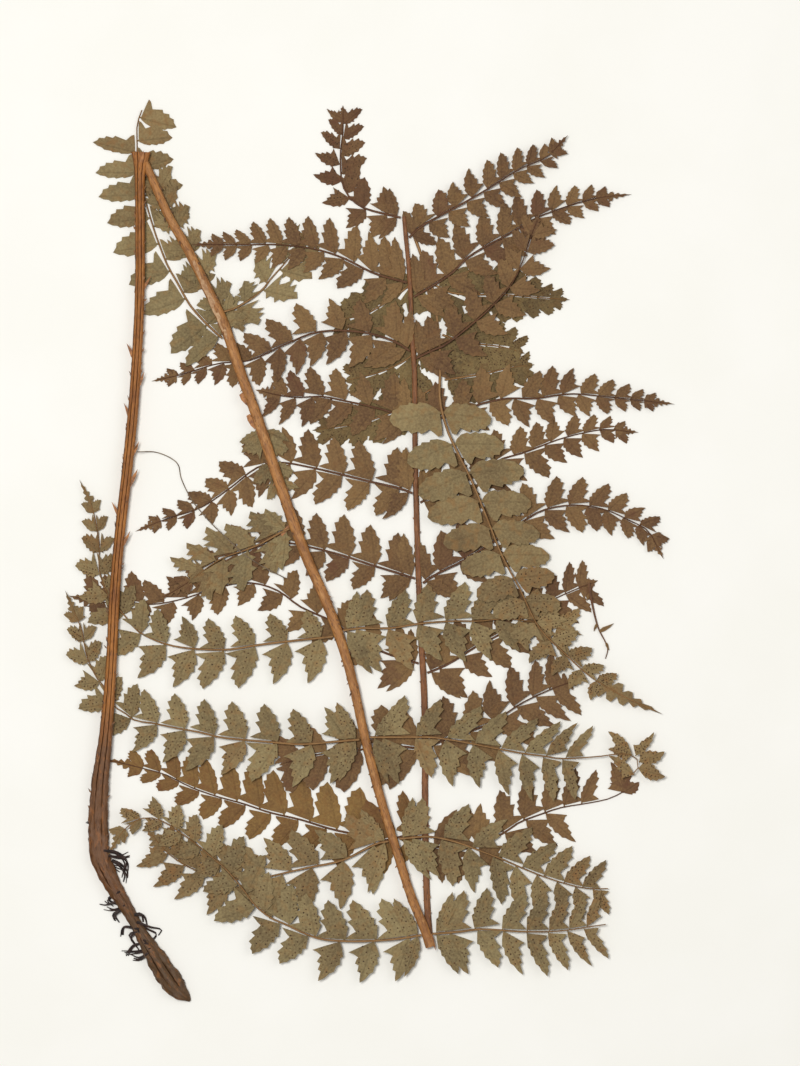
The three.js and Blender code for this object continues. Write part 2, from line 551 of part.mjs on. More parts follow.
function fused(geometries) {
  let whole = solidOf(geometries[0]);
  for (const geometry of geometries.slice(1)) whole = whole.add(solidOf(geometry));
  const mesh = whole.getMesh();
  const result = new THREE.BufferGeometry();
  result.setAttribute("position", new THREE.BufferAttribute(Float32Array.from(mesh.vertProperties), 3));
  result.setIndex(new THREE.BufferAttribute(Uint32Array.from(mesh.triVerts), 1));
  return result;
}

// stations of the stalk, from its dug-up foot to the fold at the top
const STALK = [
  [-75, -190, 5.5, 3, 0], [-79.5, -186, 8, 3.8, 0], [-84, -180, 9.4, 4.2, 0], [-88.5, -173, 8.4, 4.2, 0],
  [-93, -166, 6.4, 4, 0], [-97.5, -158, 5, 3.6, 0], [-102, -150, 5.4, 3.8, 0], [-108, -140, 6.4, 4, 0],
  [-112.5, -130, 7, 4, 0], [-113.3, -118, 7, 4, 0.2], [-112.5, -99, 6.4, 3.7, 1.6], [-110, -78, 5.2, 3.2, 2.8],
  [-107.8, -50, 4.7, 3, 2.9], [-106.5, -22, 4.6, 3, 2.6], [-104.4, 4, 4.5, 3, 2.6], [-101, 34, 4.5, 3, 2.6],
  [-98, 65, 4.4, 3, 2.6], [-95.8, 105, 4.2, 3, 2.5], [-95.6, 135, 4.2, 3, 2.4], [-95.7, 156, 4.4, 3, 2.4],
  [-95.4, 163, 5.4, 2.6, 2.4], [-95.2, 168, 7.4, 2, 2.4],
];

const LOWER_STEM = [
  [-91.4, 159, 3.2, 2.6, 2.5], [-88.5, 152, 3.6, 3, 2.5], [-83.5, 141, 3.8, 3, 2.5], [-75, 126, 4, 3, 2.5],
  [-67, 110, 4.2, 3, 2.5], [-60, 95, 4.4, 3, 2.5], [-53.5, 76, 4.4, 3, 2.5], [-46.5, 57, 4.5, 3, 2.5],
  [-38, 32, 4.6, 3, 2.5], [-26.5, 0, 4.5, 3, 2.5], [-16.5, -23, 4.4, 3, 2.5], [-11, -38, 4.2, 3, 2.5],
  [-6, -55, 4, 3, 2.5], [-0.5, -80, 3.9, 3, 2.5], [6, -105, 3.8, 3, 2.5], [13, -128, 3.8, 2.8, 2.5],
  [19.5, -148, 3.9, 2.6, 2.5], [24.5, -160, 4, 2.4, 2.5], [27, -167.5, 4.1, 2.4, 2.5],
];

const UPPER_STEM = [
  [26.5, -163, 2.9, 1.9, 0], [25.6, -150, 2.8, 1.8, 0], [25, -128, 2.8, 1.8, 0], [24.7, -106, 2.7, 1.8, 0],
  [24.7, -84, 2.7, 1.8, 0], [24.3, -60, 2.7, 1.8, 0], [23, -36, 2.6, 1.8, 0], [22, -12, 2.5, 1.8, 0],
  [21.2, 12, 2.4, 1.8, 0], [20.5, 40, 2.3, 1.6, 0], [20.4, 52, 2.2, 1.5, 1], [20.4, 60, 2.2, 1.5, 1.3],
  [20.2, 76, 2.1, 1.5, 1.3],
  [19, 93, 2, 1.5, 1.3], [18.6, 108, 1.9, 1.4, 1.3], [17.4, 124, 1.8, 1.4, 1.3], [16.4, 134, 1.8, 1.3, 1.3],
  [15.8, 141, 1.7, 1.2, 1.3],
];

// short black rootlets and stiff scales round the foot of the stalk, each from inside the stalk outward
const ROOTLETS = [
  [[-111, -127], [-106, -128], [-102, -132], [-103, -138]], [[-110, -132], [-106, -134], [-103, -135]],
  [[-104, -144], [-109, -148], [-106, -150]],
  [[-96, -160], [-103, -159.5], [-104, -163]], [[-96, -161], [-100, -163], [-97, -168]],
  [[-92, -166], [-98, -167], [-101, -171]],
  [[-98, -154], [-95, -154], [-94, -158]], [[-97, -157], [-92, -160], [-88, -162], [-90, -165]],
  [[-82, -179], [-79, -180.5], [-78, -181]], [[-113, -117], [-118.4, -115]],
];
const ROOTLET_WIDTH = 0.9;
const ROOTLET_HEIGHTS = [1.6, 1.1, 0.6, 0.3];

// dry papery scales on the stalk: foot, tip and width
const SCALES = [
  [[-97.5, 80], [-101.5, 87], 1.8], [[-97, 68], [-93.5, 75], 1.7], [[-99, 54], [-102.5, 62], 1.7],
  [[-100, 38], [-96, 46], 1.8], [[-101, 26], [-96.5, 34], 2.2], [[-103.5, 13], [-108, 20], 1.6],
  [[-103.6, 1], [-99.6, 8], 1.7], [[-95.5, 108], [-91.5, 116], 1.6],
];
const SCALE_LOW = 3.6;
const SCALE_BROADEST = 0.35;  // where a scale is broadest, as a part of its length

const TWIG = { width: 1, height: 0.8 };

// a leaflet of the curled cluster: how far it is sunk in, its half width and where its two corners sit
const SPRIG = { sunk: 0.15, half: 0.24, near: 0.3, far: 0.45 };

function rootletBody(route) {
  const stations = route.map(([x, y], i) => [x, y, ROOTLET_WIDTH, ROOTLET_WIDTH, ROOTLET_HEIGHTS[i]]);
  return stemBody(stations, STRAND);
}

function scaleBody([foot, tip, width]) {
  const run = new THREE.Vector2(tip[0] - foot[0], tip[1] - foot[1]);
  const aside = new THREE.Vector2(-run.y, run.x).normalize().multiplyScalar(width / 2);
  const start = new THREE.Vector2(...foot);
  const middle = start.clone().addScaledVector(run, SCALE_BROADEST);
  const shape = new THREE.Shape([
    start, middle.clone().sub(aside), new THREE.Vector2(...tip), middle.clone().add(aside),
  ]);
  const blade = new THREE.ExtrudeGeometry(shape, { depth: BLADE, bevelEnabled: false });
  return blade.translate(0, 0, SCALE_LOW);
}

function twigBody(route) {
  const stations = route.map(([x, y]) => [x, y, TWIG.width, TWIG.height, 0]);
  return stemBody(stations, STRAND);
}

function sprigBody([foot, tip], spec) {
  const out = new THREE.Vector2(tip[0] - foot[0], tip[1] - foot[1]);
  const aside = new THREE.Vector2(-out.y, out.x).multiplyScalar(SPRIG.half);
  const start = new THREE.Vector2(...foot).addScaledVector(out, -SPRIG.sunk);
  const shape = new THREE.Shape([
    start,
    start.clone().addScaledVector(out, SPRIG.near).sub(aside),
    new THREE.Vector2(...tip),
    start.clone().addScaledVector(out, SPRIG.far).add(aside),
  ]);
  const blade = new THREE.ExtrudeGeometry(shape, { depth: BLADE, bevelEnabled: false });
  return blade.translate(0, 0, levelAt(spec.levels, 1));
}

function leafMaterial(colour) {
  return new THREE.MeshStandardMaterial({ color: colour, roughness: 0.85, metalness: 0 });
}

function stemMaterial(colour) {
  return new THREE.MeshStandardMaterial({ color: colour, roughness: 0.6, metalness: 0 });
}

const frond = new THREE.Group();
frond.name = "polystichum_tsaratananense_frond";
frond.position.set(-MIDDLE[0], -MIDDLE[1], 0);

function add(name, geometry, material) {
  const mesh = new THREE.Mesh(geometry, material);
  mesh.name = name;
  frond.add(mesh);
}

function sprayNode(spec, order, colour) {
  const pieces = [sprayBody(spec, order)];
  if (spec.twig) pieces.push(twigBody(spec.twig));
  for (const sprig of spec.sprigs ?? []) pieces.push(sprigBody(sprig, spec));
  add(spec.name, pieces.length > 1 ? fused(pieces) : pieces[0], leafMaterial(colour));
}

add("stalk", fused([stemBody(STALK, GROOVED), ...ROOTLETS.map(rootletBody), ...SCALES.map(scaleBody)]),
  stemMaterial(STALK_BROWN));
add("lower_midstem", stemBody(LOWER_STEM, ROUNDED), stemMaterial(LOWER_STEM_TAN));
add("upper_midstem", stemBody(UPPER_STEM, ROUNDED), stemMaterial(UPPER_STEM_BROWN));
faceSprays.forEach((spec, i) => sprayNode(spec, i + 1, spec.red ? FACE_RED_BROWN : FACE_BROWN));
backSprays.forEach((spec, i) => sprayNode(spec, i + 40, BACK_GREY_GREEN));
hiddenSprays.forEach((spec, i) => sprayNode(spec, i + 60, HIDDEN_OLIVE));
sprayNode(frondTip, 70, BACK_GREY_GREEN);

export default frond;
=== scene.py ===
# %% [markdown]
# # A pressed frond of a shield fern
# The object is one frond, about 1.27 m long, dried flat and folded three times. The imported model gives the
# frame: every spray, stalk and midstem is already in place there as a plain solid. Here each of them is
# made again with toothed leaflets, grooved stems, spore dots and the colours of a dried plant, in exactly
# the same place.

# %% Load the frame
import math

import bpy
import numpy
from mathutils import Matrix, Vector


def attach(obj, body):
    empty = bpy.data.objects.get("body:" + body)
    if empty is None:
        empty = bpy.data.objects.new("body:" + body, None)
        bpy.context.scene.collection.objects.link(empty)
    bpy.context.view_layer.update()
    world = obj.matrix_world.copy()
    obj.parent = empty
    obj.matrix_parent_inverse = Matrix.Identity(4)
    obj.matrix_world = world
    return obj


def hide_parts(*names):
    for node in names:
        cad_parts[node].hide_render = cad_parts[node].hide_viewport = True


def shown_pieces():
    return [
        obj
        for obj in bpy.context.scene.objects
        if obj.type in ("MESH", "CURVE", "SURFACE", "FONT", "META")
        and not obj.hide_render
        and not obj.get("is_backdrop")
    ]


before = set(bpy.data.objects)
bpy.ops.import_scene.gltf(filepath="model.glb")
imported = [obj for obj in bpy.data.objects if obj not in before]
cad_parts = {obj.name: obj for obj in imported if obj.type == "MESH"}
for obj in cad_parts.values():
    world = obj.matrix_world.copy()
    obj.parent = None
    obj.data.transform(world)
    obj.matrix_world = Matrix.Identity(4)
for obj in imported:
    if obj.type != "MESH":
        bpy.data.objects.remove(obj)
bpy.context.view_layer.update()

# %% [markdown]
# ## Sizes and places
# The routes below were read in millimetres, counted from a point near the middle of the frond. One
# function turns them into metres in the frame. The driving sizes are those of the plain solids, so that the
# fine pieces lie where the plain ones do.

# %% Sizes in millimetres
MM = 0.001
MIDDLE = (-0.3, -3.03)      # the frame's own zero, counted as the routes are
LAYER = 1.25                # from one lying leaf to the next one over it
LEAF_THICKNESS = 0.25
LEAF_RISE = 0.3             # how high a leaflet lies above the level of its spray
SMALL_LEAFLET, FULL_LEAFLET = 9.2, 16.02  # lengths up to which a leaflet is broad, and from which slender
BROAD, SLENDER = 0.92, 0.68  # its width then, as a part of its length
LEAST, SPREAD = 0.97, 0.14  # a leaflet's own share of its length: the least, and how much more
BARE_FOOT = 5.5             # the first leaflet of a plain solid stands at least this far out
CROWDING = 0.3              # how much wider apart the first ones stand, and how much closer the last
RIB_HALF_ROOT, RIB_HALF_END = 0.5, 0.24  # half the width of a rib at its foot and at its end


def spot(x, y, z=0.0):
    """A point read in millimetres, as a point of the frame in metres."""
    return Vector(((x - MIDDLE[0]) * MM, (y - MIDDLE[1]) * MM, z * MM))


print("the routes' own zero lies at", [round(value, 5) for value in spot(0, 0)])

# %% Look after the selection
def nothing_selected():
    if bpy.context.mode != "OBJECT":
        bpy.ops.object.mode_set(mode="OBJECT")
    bpy.ops.object.select_all(action="DESELECT")


def select_only(*pieces):
    nothing_selected()
    for piece in pieces:
        piece.select_set(True)
    bpy.context.view_layer.objects.active = pieces[0]


def faces_of(piece):
    return len(piece.data.polygons)


nothing_selected()

# %% [markdown]
# ## Colours and materials
# A dried fern is matt, like thin paper: the underside of its leaflets has gone grey-green to buff, the
# upper side brown. The stalks are like polished straw, with fine streaks along them. A picture of the plant
# could be laid over the pieces, but it would blur close up, so each finish is built from nodes, with its
# patterns at their real sizes in millimetres and its colours given.

# %% Colour and node helpers
PLANT_IOR = 1.45            # what dried cell walls and their wax bend light by


def linear(hex_colour):
    """An sRGB hex colour as the linear colour that the shader wants."""
    parts = [int(hex_colour[i:i + 2], 16) / 255 for i in (1, 3, 5)]
    straight = [c / 12.92 if c <= 0.04045 else ((c + 0.055) / 1.055) ** 2.4 for c in parts]
    return (*straight, 1.0)


def feed(tree, node, inputs):
    """Gives each input a number, a hex colour, or what another socket or node puts out."""
    for key, value in inputs.items():
        if isinstance(value, bpy.types.Node):  # its first output that is in use
            value = next(output for output in value.outputs if output.enabled)
        if isinstance(value, bpy.types.NodeSocket):
            tree.links.new(value, node.inputs[key])
        elif isinstance(value, str):
            node.inputs[key].default_value = linear(value)
        else:
            node.inputs[key].default_value = value


def add(tree, kind, inputs=None, **settings):
    """Adds one shader node with its settings and feeds it."""
    node = tree.nodes.new("ShaderNode" + kind)
    for key, value in settings.items():
        setattr(node, key, value)
    feed(tree, node, inputs or {})
    return node


def blank_material(name, roughness):
    material = bpy.data.materials.new(name)
    material.use_nodes = True
    tree = material.node_tree
    shader = tree.nodes["Principled BSDF"]
    feed(tree, shader, {"Roughness": roughness, "IOR": PLANT_IOR})
    return material, tree, shader


print("grey-green of the undersides, linear:", [round(c, 3) for c in linear("#857a5c")])

# %% [markdown]
# ### Dried leaflet
# A leaflet has a midrib from its foot to its tip and forked side veins that run out to the teeth. Dried,
# the blade puckers a little between them, so veins and colour come from the leaflet's own unwrapped place:
# u runs from foot to tip and v across. Every leaflet also carries its own tone, because no two dried alike.

# %% The leaflet's finish
MIDRIB_RISE = 0.03          # how far across the leaflet its midrib ends
MIDRIB_FULL, MIDRIB_GONE = 0.008, 0.04   # how far across it begins to fade, and is gone
VEINS = 8                   # side veins on each side of the midrib
VEIN_SLANT = 0.5            # how much they slant toward the tip on their way out
VEIN_FULL, VEIN_GONE = 0.02, 0.14        # the same for a side vein, as a part of the step to the next one
SIDE_VEIN = 0.35            # how strong it is beside the midrib
# size in millimetres, detail, and the values of the noise that become 0 and 1
PATTERNS = {"patches": (24, 3, 0.35, 0.65), "grain": (0.9, 5, 0.3, 0.7), "flecks": (3.2, 5, 0.5, 0.7)}
PATCHES, TONE, GRAIN = 0.5, 0.6, 0.7     # what patches, own tone and grain add to the shade
FLECKS = 0.45               # how strongly the warm flecks show
RUST_LEAST, RUST_MOST = 0.35, 0.8        # rust that an old leaflet takes on between flecks and in them
SHADE_LOW, SHADE_HIGH = 0.05, 1.05       # the sums of these that give the light and the dark colour
PAPER_ROUGHNESS = 0.85
PUCKER_HEIGHT = 0.0004      # metres. Real veins stand lower, but wouldn't show
PUCKER_SHARE, PUCKER_STRENGTH = 0.6, 0.8  # part of that height in use, and how strongly it shades


def leaf_material(name, light, dark, deep, warm, rust, vein_strength):
    """Papery dried blade: light to dark in patches, deep at the veins, warm flecks, rust where it is old."""
    material, tree, shader = blank_material(name, PAPER_ROUGHNESS)
    where = add(tree, "TexCoord").outputs["Object"]
    tone = add(tree, "Attribute", attribute_name="tone").outputs["Fac"]
    age = add(tree, "Attribute", attribute_name="age").outputs["Fac"]
    unwrapped = add(tree, "SeparateXYZ", {0: add(tree, "UVMap", uv_map="UVMap")})
    u, v = unwrapped.outputs[0], unwrapped.outputs[1]

    # veins: how far off the midrib a point lies, and where between two side veins
    rise = add(tree, "Math", {0: u, 1: MIDRIB_RISE}, operation="MULTIPLY")
    beside = add(tree, "Math", {0: v, 1: rise}, operation="SUBTRACT")
    off_midrib = add(tree, "Math", {0: beside}, operation="ABSOLUTE")
    midrib = add(tree, "MapRange", {0: off_midrib, 1: MIDRIB_FULL, 2: MIDRIB_GONE, 3: 1, 4: 0})
    slant = add(tree, "Math", {0: off_midrib, 1: VEIN_SLANT}, operation="MULTIPLY")
    run = add(tree, "Math", {0: u, 1: slant}, operation="SUBTRACT")
    steps = add(tree, "Math", {0: run, 1: VEINS}, operation="MULTIPLY")
    phase = add(tree, "Math", {0: steps}, operation="FRACT")
    from_middle = add(tree, "Math", {0: phase, 1: 0.5}, operation="SUBTRACT")
    off_vein = add(tree, "Math", {0: from_middle}, operation="ABSOLUTE")
    side_vein = add(tree, "MapRange", {0: off_vein, 1: VEIN_FULL, 2: VEIN_GONE, 3: SIDE_VEIN, 4: 0})
    veins = add(tree, "Math", {0: side_vein, 1: midrib}, operation="MAXIMUM")

    # three patterns, each spread to run from 0 to 1
    spread = {}
    for what, (size_mm, detail, low, high) in PATTERNS.items():
        inputs = {"Vector": where, "Scale": 1 / (size_mm * MM), "Detail": detail}
        noise = add(tree, "TexNoise", inputs)
        spread[what] = add(tree, "MapRange", {0: noise, 1: low, 2: high})

    # the shade is patches, own tone and grain together
    own = add(tree, "Math", {0: tone, 1: TONE}, operation="MULTIPLY")
    shade = add(tree, "Math", {0: spread["patches"], 1: PATCHES, 2: own}, operation="MULTIPLY_ADD")
    grain = add(tree, "Math", {0: spread["grain"], 1: 0.5}, operation="SUBTRACT")
    shade = add(tree, "Math", {0: grain, 1: GRAIN, 2: shade}, operation="MULTIPLY_ADD")
    shade = add(tree, "MapRange", {0: shade, 1: SHADE_LOW, 2: SHADE_HIGH})

    # the colours go on over one another
    colour = add(tree, "Mix", {0: shade, 6: light, 7: dark}, data_type="RGBA")
    flecks = add(tree, "Math", {0: spread["flecks"], 1: FLECKS}, operation="MULTIPLY")
    colour = add(tree, "Mix", {0: flecks, 6: colour, 7: warm}, data_type="RGBA")
    takes_rust = add(tree, "MapRange", {0: spread["flecks"], 3: RUST_LEAST, 4: RUST_MOST})
    rusty = add(tree, "Math", {0: age, 1: takes_rust}, operation="MULTIPLY")
    colour = add(tree, "Mix", {0: rusty, 6: colour, 7: rust}, data_type="RGBA")
    dark_veins = add(tree, "Math", {0: veins, 1: vein_strength}, operation="MULTIPLY")
    colour = add(tree, "Mix", {0: dark_veins, 6: colour, 7: deep}, data_type="RGBA")

    relief = add(tree, "Math", {0: veins, 1: spread["grain"]}, operation="ADD")
    relief = add(tree, "Math", {0: relief, 1: PUCKER_SHARE}, operation="MULTIPLY")
    bump = {"Strength": PUCKER_STRENGTH, "Distance": PUCKER_HEIGHT, "Height": relief}
    bump = add(tree, "Bump", bump)
    feed(tree, shader, {"Base Color": colour, "Normal": bump})
    return material


# in this order: light, dark, deep, warm and rust, and how dark the veins are
BACK = leaf_material("Dried leaf underside", "#93825a", "#67573a", "#55442b", "#8e6d40", "#845b30", 0.2)
FACE = leaf_material("Dried leaf upper side", "#866840", "#5c4128", "#4a3221", "#805c33", "#5b3727", 0.13)
FACE_GOLD = leaf_material(
    "Dried leaf upper side, golden", "#8e6f3c", "#6a4c29", "#50351f", "#88602c", "#6c4428", 0.15)
OLIVE = leaf_material("Dried leaf, olive", "#7f6b43", "#58472b", "#463722", "#7a5f35", "#674829", 0.18)
print("leaf finishes", [m.name for m in (BACK, FACE, FACE_GOLD, OLIVE)])

# %% [markdown]
# ### Dried stem
# The stalk and the midstems are woody, smooth and faintly glossy, with long streaks where fibres lie under
# the skin. Streaks could be drawn straight through the scene, but the stems bend, so they are drawn on each
# stem's unwrapped place, stretched along it. The stalk darkens to bare brown toward the foot, in two zones.

# %% The stem's finish
STRAW_ROUGHNESS = 0.6
PATCH_MM = 12
# noise drawn out along a stem: how often round it and in a millimetre along it, its detail and its roughness
DRAWN_OUT = {"streaks": (1, 0.1, 5, 0.65), "fibres": (4, 0.35, 3, 0.5), "worn": (0.7, 0.16, 6, 0.7)}
# which values of a noise count, and how strong the lower and the higher one make it
STRONG = {"patches": (0.38, 0.66, 0, 0.35), "streaks": (0.36, 0.64, 0, 0.7),
          "worn": (0.53, 0.62, 0, 0.5), "fibres": (0.32, 0.46, 0.8, 0)}
PAINTED_SHADE_DEPTH = 0.85               # how dark the painted shade in a groove or on a stem's low side is
ZONE_WANDER = 0.06          # metres that the edge of a zone may wander along the stem
FIBRE_HEIGHT = 0.0004       # metres. Real fibres stand lower, but wouldn't show
FIBRE_SHARE, FIBRE_STRENGTH = 0.7, 0.7    # the fibres' part in the relief, and how strongly it shades


def stem_material(name, light, dark, groove, fleck, around, zones=()):
    """Woody skin with streaks along it. zones: a colour, its strength, and the two y it comes in between."""
    material, tree, shader = blank_material(name, STRAW_ROUGHNESS)
    where = add(tree, "TexCoord").outputs["Object"]
    unwrapped = add(tree, "UVMap", uv_map="UVMap")
    noise = {}
    for what, (often, along_mm, detail, roughness) in DRAWN_OUT.items():
        drawn = add(tree, "Mapping", {"Vector": unwrapped, "Scale": (around * often, along_mm, 1)})
        inputs = {"Vector": drawn, "Scale": 1, "Detail": detail, "Roughness": roughness}
        noise[what] = add(tree, "TexNoise", inputs)

    inputs = {"Vector": where, "Scale": 1 / (PATCH_MM * MM), "Detail": 4}
    noise["patches"] = add(tree, "TexNoise", inputs)
    strong = {}
    for what, (low, high, at_low, at_high) in STRONG.items():
        strong[what] = add(tree, "MapRange", {0: noise[what], 1: low, 2: high, 3: at_low, 4: at_high})

    # the shade is streaks and broad patches together
    shade = add(tree, "Math", {0: strong["streaks"], 1: strong["patches"]}, operation="ADD")
    colour = add(tree, "Mix", {0: shade, 6: light, 7: dark}, data_type="RGBA")

    # each zone comes in along the stem, with a ragged edge
    y = add(tree, "SeparateXYZ", {0: where}).outputs[1]
    wander = add(tree, "Math", {0: noise["streaks"], 1: 0.5}, operation="SUBTRACT")
    ragged = add(tree, "Math", {0: wander, 1: ZONE_WANDER, 2: y}, operation="MULTIPLY_ADD")
    for zone, strength, y_from, y_to in zones:
        reached = {0: ragged, 1: spot(0, y_from)[1], 2: spot(0, y_to)[1], 3: 0, 4: strength}
        share = add(tree, "MapRange", reached)
        colour = add(tree, "Mix", {0: share, 6: colour, 7: zone}, data_type="RGBA")

    # where the skin is worn it is paler, grooves and a stem's low side get painted shade, and pits are dark
    colour = add(tree, "Mix", {0: strong["worn"], 6: colour, 7: fleck}, data_type="RGBA")
    painted_shade = add(tree, "Attribute", attribute_name="painted_shade").outputs["Fac"]
    painted_shade = add(tree, "Math", {0: painted_shade, 1: PAINTED_SHADE_DEPTH}, operation="MULTIPLY")
    colour = add(tree, "Mix", {0: painted_shade, 6: colour, 7: groove}, data_type="RGBA")
    colour = add(tree, "Mix", {0: strong["fibres"], 6: colour, 7: groove}, data_type="RGBA")

    relief = {0: noise["fibres"], 1: FIBRE_SHARE, 2: noise["streaks"]}
    relief = add(tree, "Math", relief, operation="MULTIPLY_ADD")
    bump = {"Strength": FIBRE_STRENGTH, "Distance": FIBRE_HEIGHT, "Height": relief}
    bump = add(tree, "Bump", bump)
    feed(tree, shader, {"Base Color": colour, "Normal": bump})
    return material


# in this order: light, dark, groove (the colour of painted shade in grooves and on a stem's low side, and of
# the pits) and fleck, and how many streaks lie round the stem
STALK_SKIN = stem_material(
    "Dried stalk skin", "#b0712f", "#774418", "#40230f", "#9c602b", 9,
    [("#5f4129", 0.85, -66, -84), ("#4f3b22", 0.75, -144, -158)])
LOWER_SKIN = stem_material("Dried midstem skin, tan", "#b47b40", "#7e4f25", "#5a3717", "#c08d55", 7)
UPPER_SKIN = stem_material("Dried midstem skin, red-brown", "#8f5a30", "#5e381d", "#3b2212", "#9d6b3f", 7)
BACK_RIB = stem_material("Dried rib of the underside", "#946d42", "#6b492b", "#a88252", "#a1794b", 5)
FACE_RIB = stem_material("Dried rib of the upper side", "#7a5233", "#4d3223", "#6a4630", "#8a6340", 5)
print("stem finishes", [m.name for m in (STALK_SKIN, LOWER_SKIN, UPPER_SKIN, BACK_RIB, FACE_RIB)])

# %% [markdown]
# ### Small things
# Spore dots are matt and dark. The dry scales on the stalk are thin, orange and papery, and the rootlets at
# its foot are nearly black. Each is too small to show a pattern of its own, so two colours in soft patches
# are enough, and they keep neighbours from looking alike.

# %% Plain mottled finishes
MOTTLED_LOW, MOTTLED_HIGH = 0.38, 0.62   # the noise that gives the light and the dark colour


def mottled_material(name, light, dark, size_mm, roughness):
    """One matt stuff that varies between two colours in patches of size_mm."""
    material, tree, shader = blank_material(name, roughness)
    where = add(tree, "TexCoord").outputs["Object"]
    noise = add(tree, "TexNoise", {"Vector": where, "Scale": 1 / (size_mm * MM), "Detail": 4})
    share = add(tree, "MapRange", {0: noise, 1: MOTTLED_LOW, 2: MOTTLED_HIGH})
    colour = add(tree, "Mix", {0: share, 6: light, 7: dark}, data_type="RGBA")
    feed(tree, shader, {"Base Color": colour})
    return material


SPORES = mottled_material("Spore dots", "#64492d", "#43301f", 2.5, 0.9)
PAPERY = mottled_material("Papery scale", "#ab7038", "#7a4a22", 1.6, 0.6)
SCALE_RAGS = mottled_material("Worn scale rags", "#8a5c32", "#4c301c", 3.0, 0.7)
MEMBRANE = mottled_material("Pale membrane", "#b8936a", "#94683e", 1.6, 0.6)
ROOTLET = mottled_material("Rootlet", "#3f2e28", "#211917", 1.5, 0.55)
FIBRE = mottled_material("Fine fibre", "#7d6c58", "#5e4d3c", 4.0, 0.7)
print("small finishes", [m.name for m in (SPORES, PAPERY, SCALE_RAGS, MEMBRANE, ROOTLET, FIBRE)])

# %% [markdown]
# ## The leaflet
# A leaflet hangs on its rib by the corner of its foot. Its near edge bulges and has small teeth. Its far
# edge has pointed teeth, and beside the rib it runs out into a pointed lobe. It could be drawn as an
# outline and filled, but a sheet in columns of faces bends better, so a grid is shaped column by column
# until its edges follow the outline. Six kinds are modelled once each, and a seventh closes the end of a
# spray, with lobes on both sides. Every copy is stretched, curled and given its own tone.

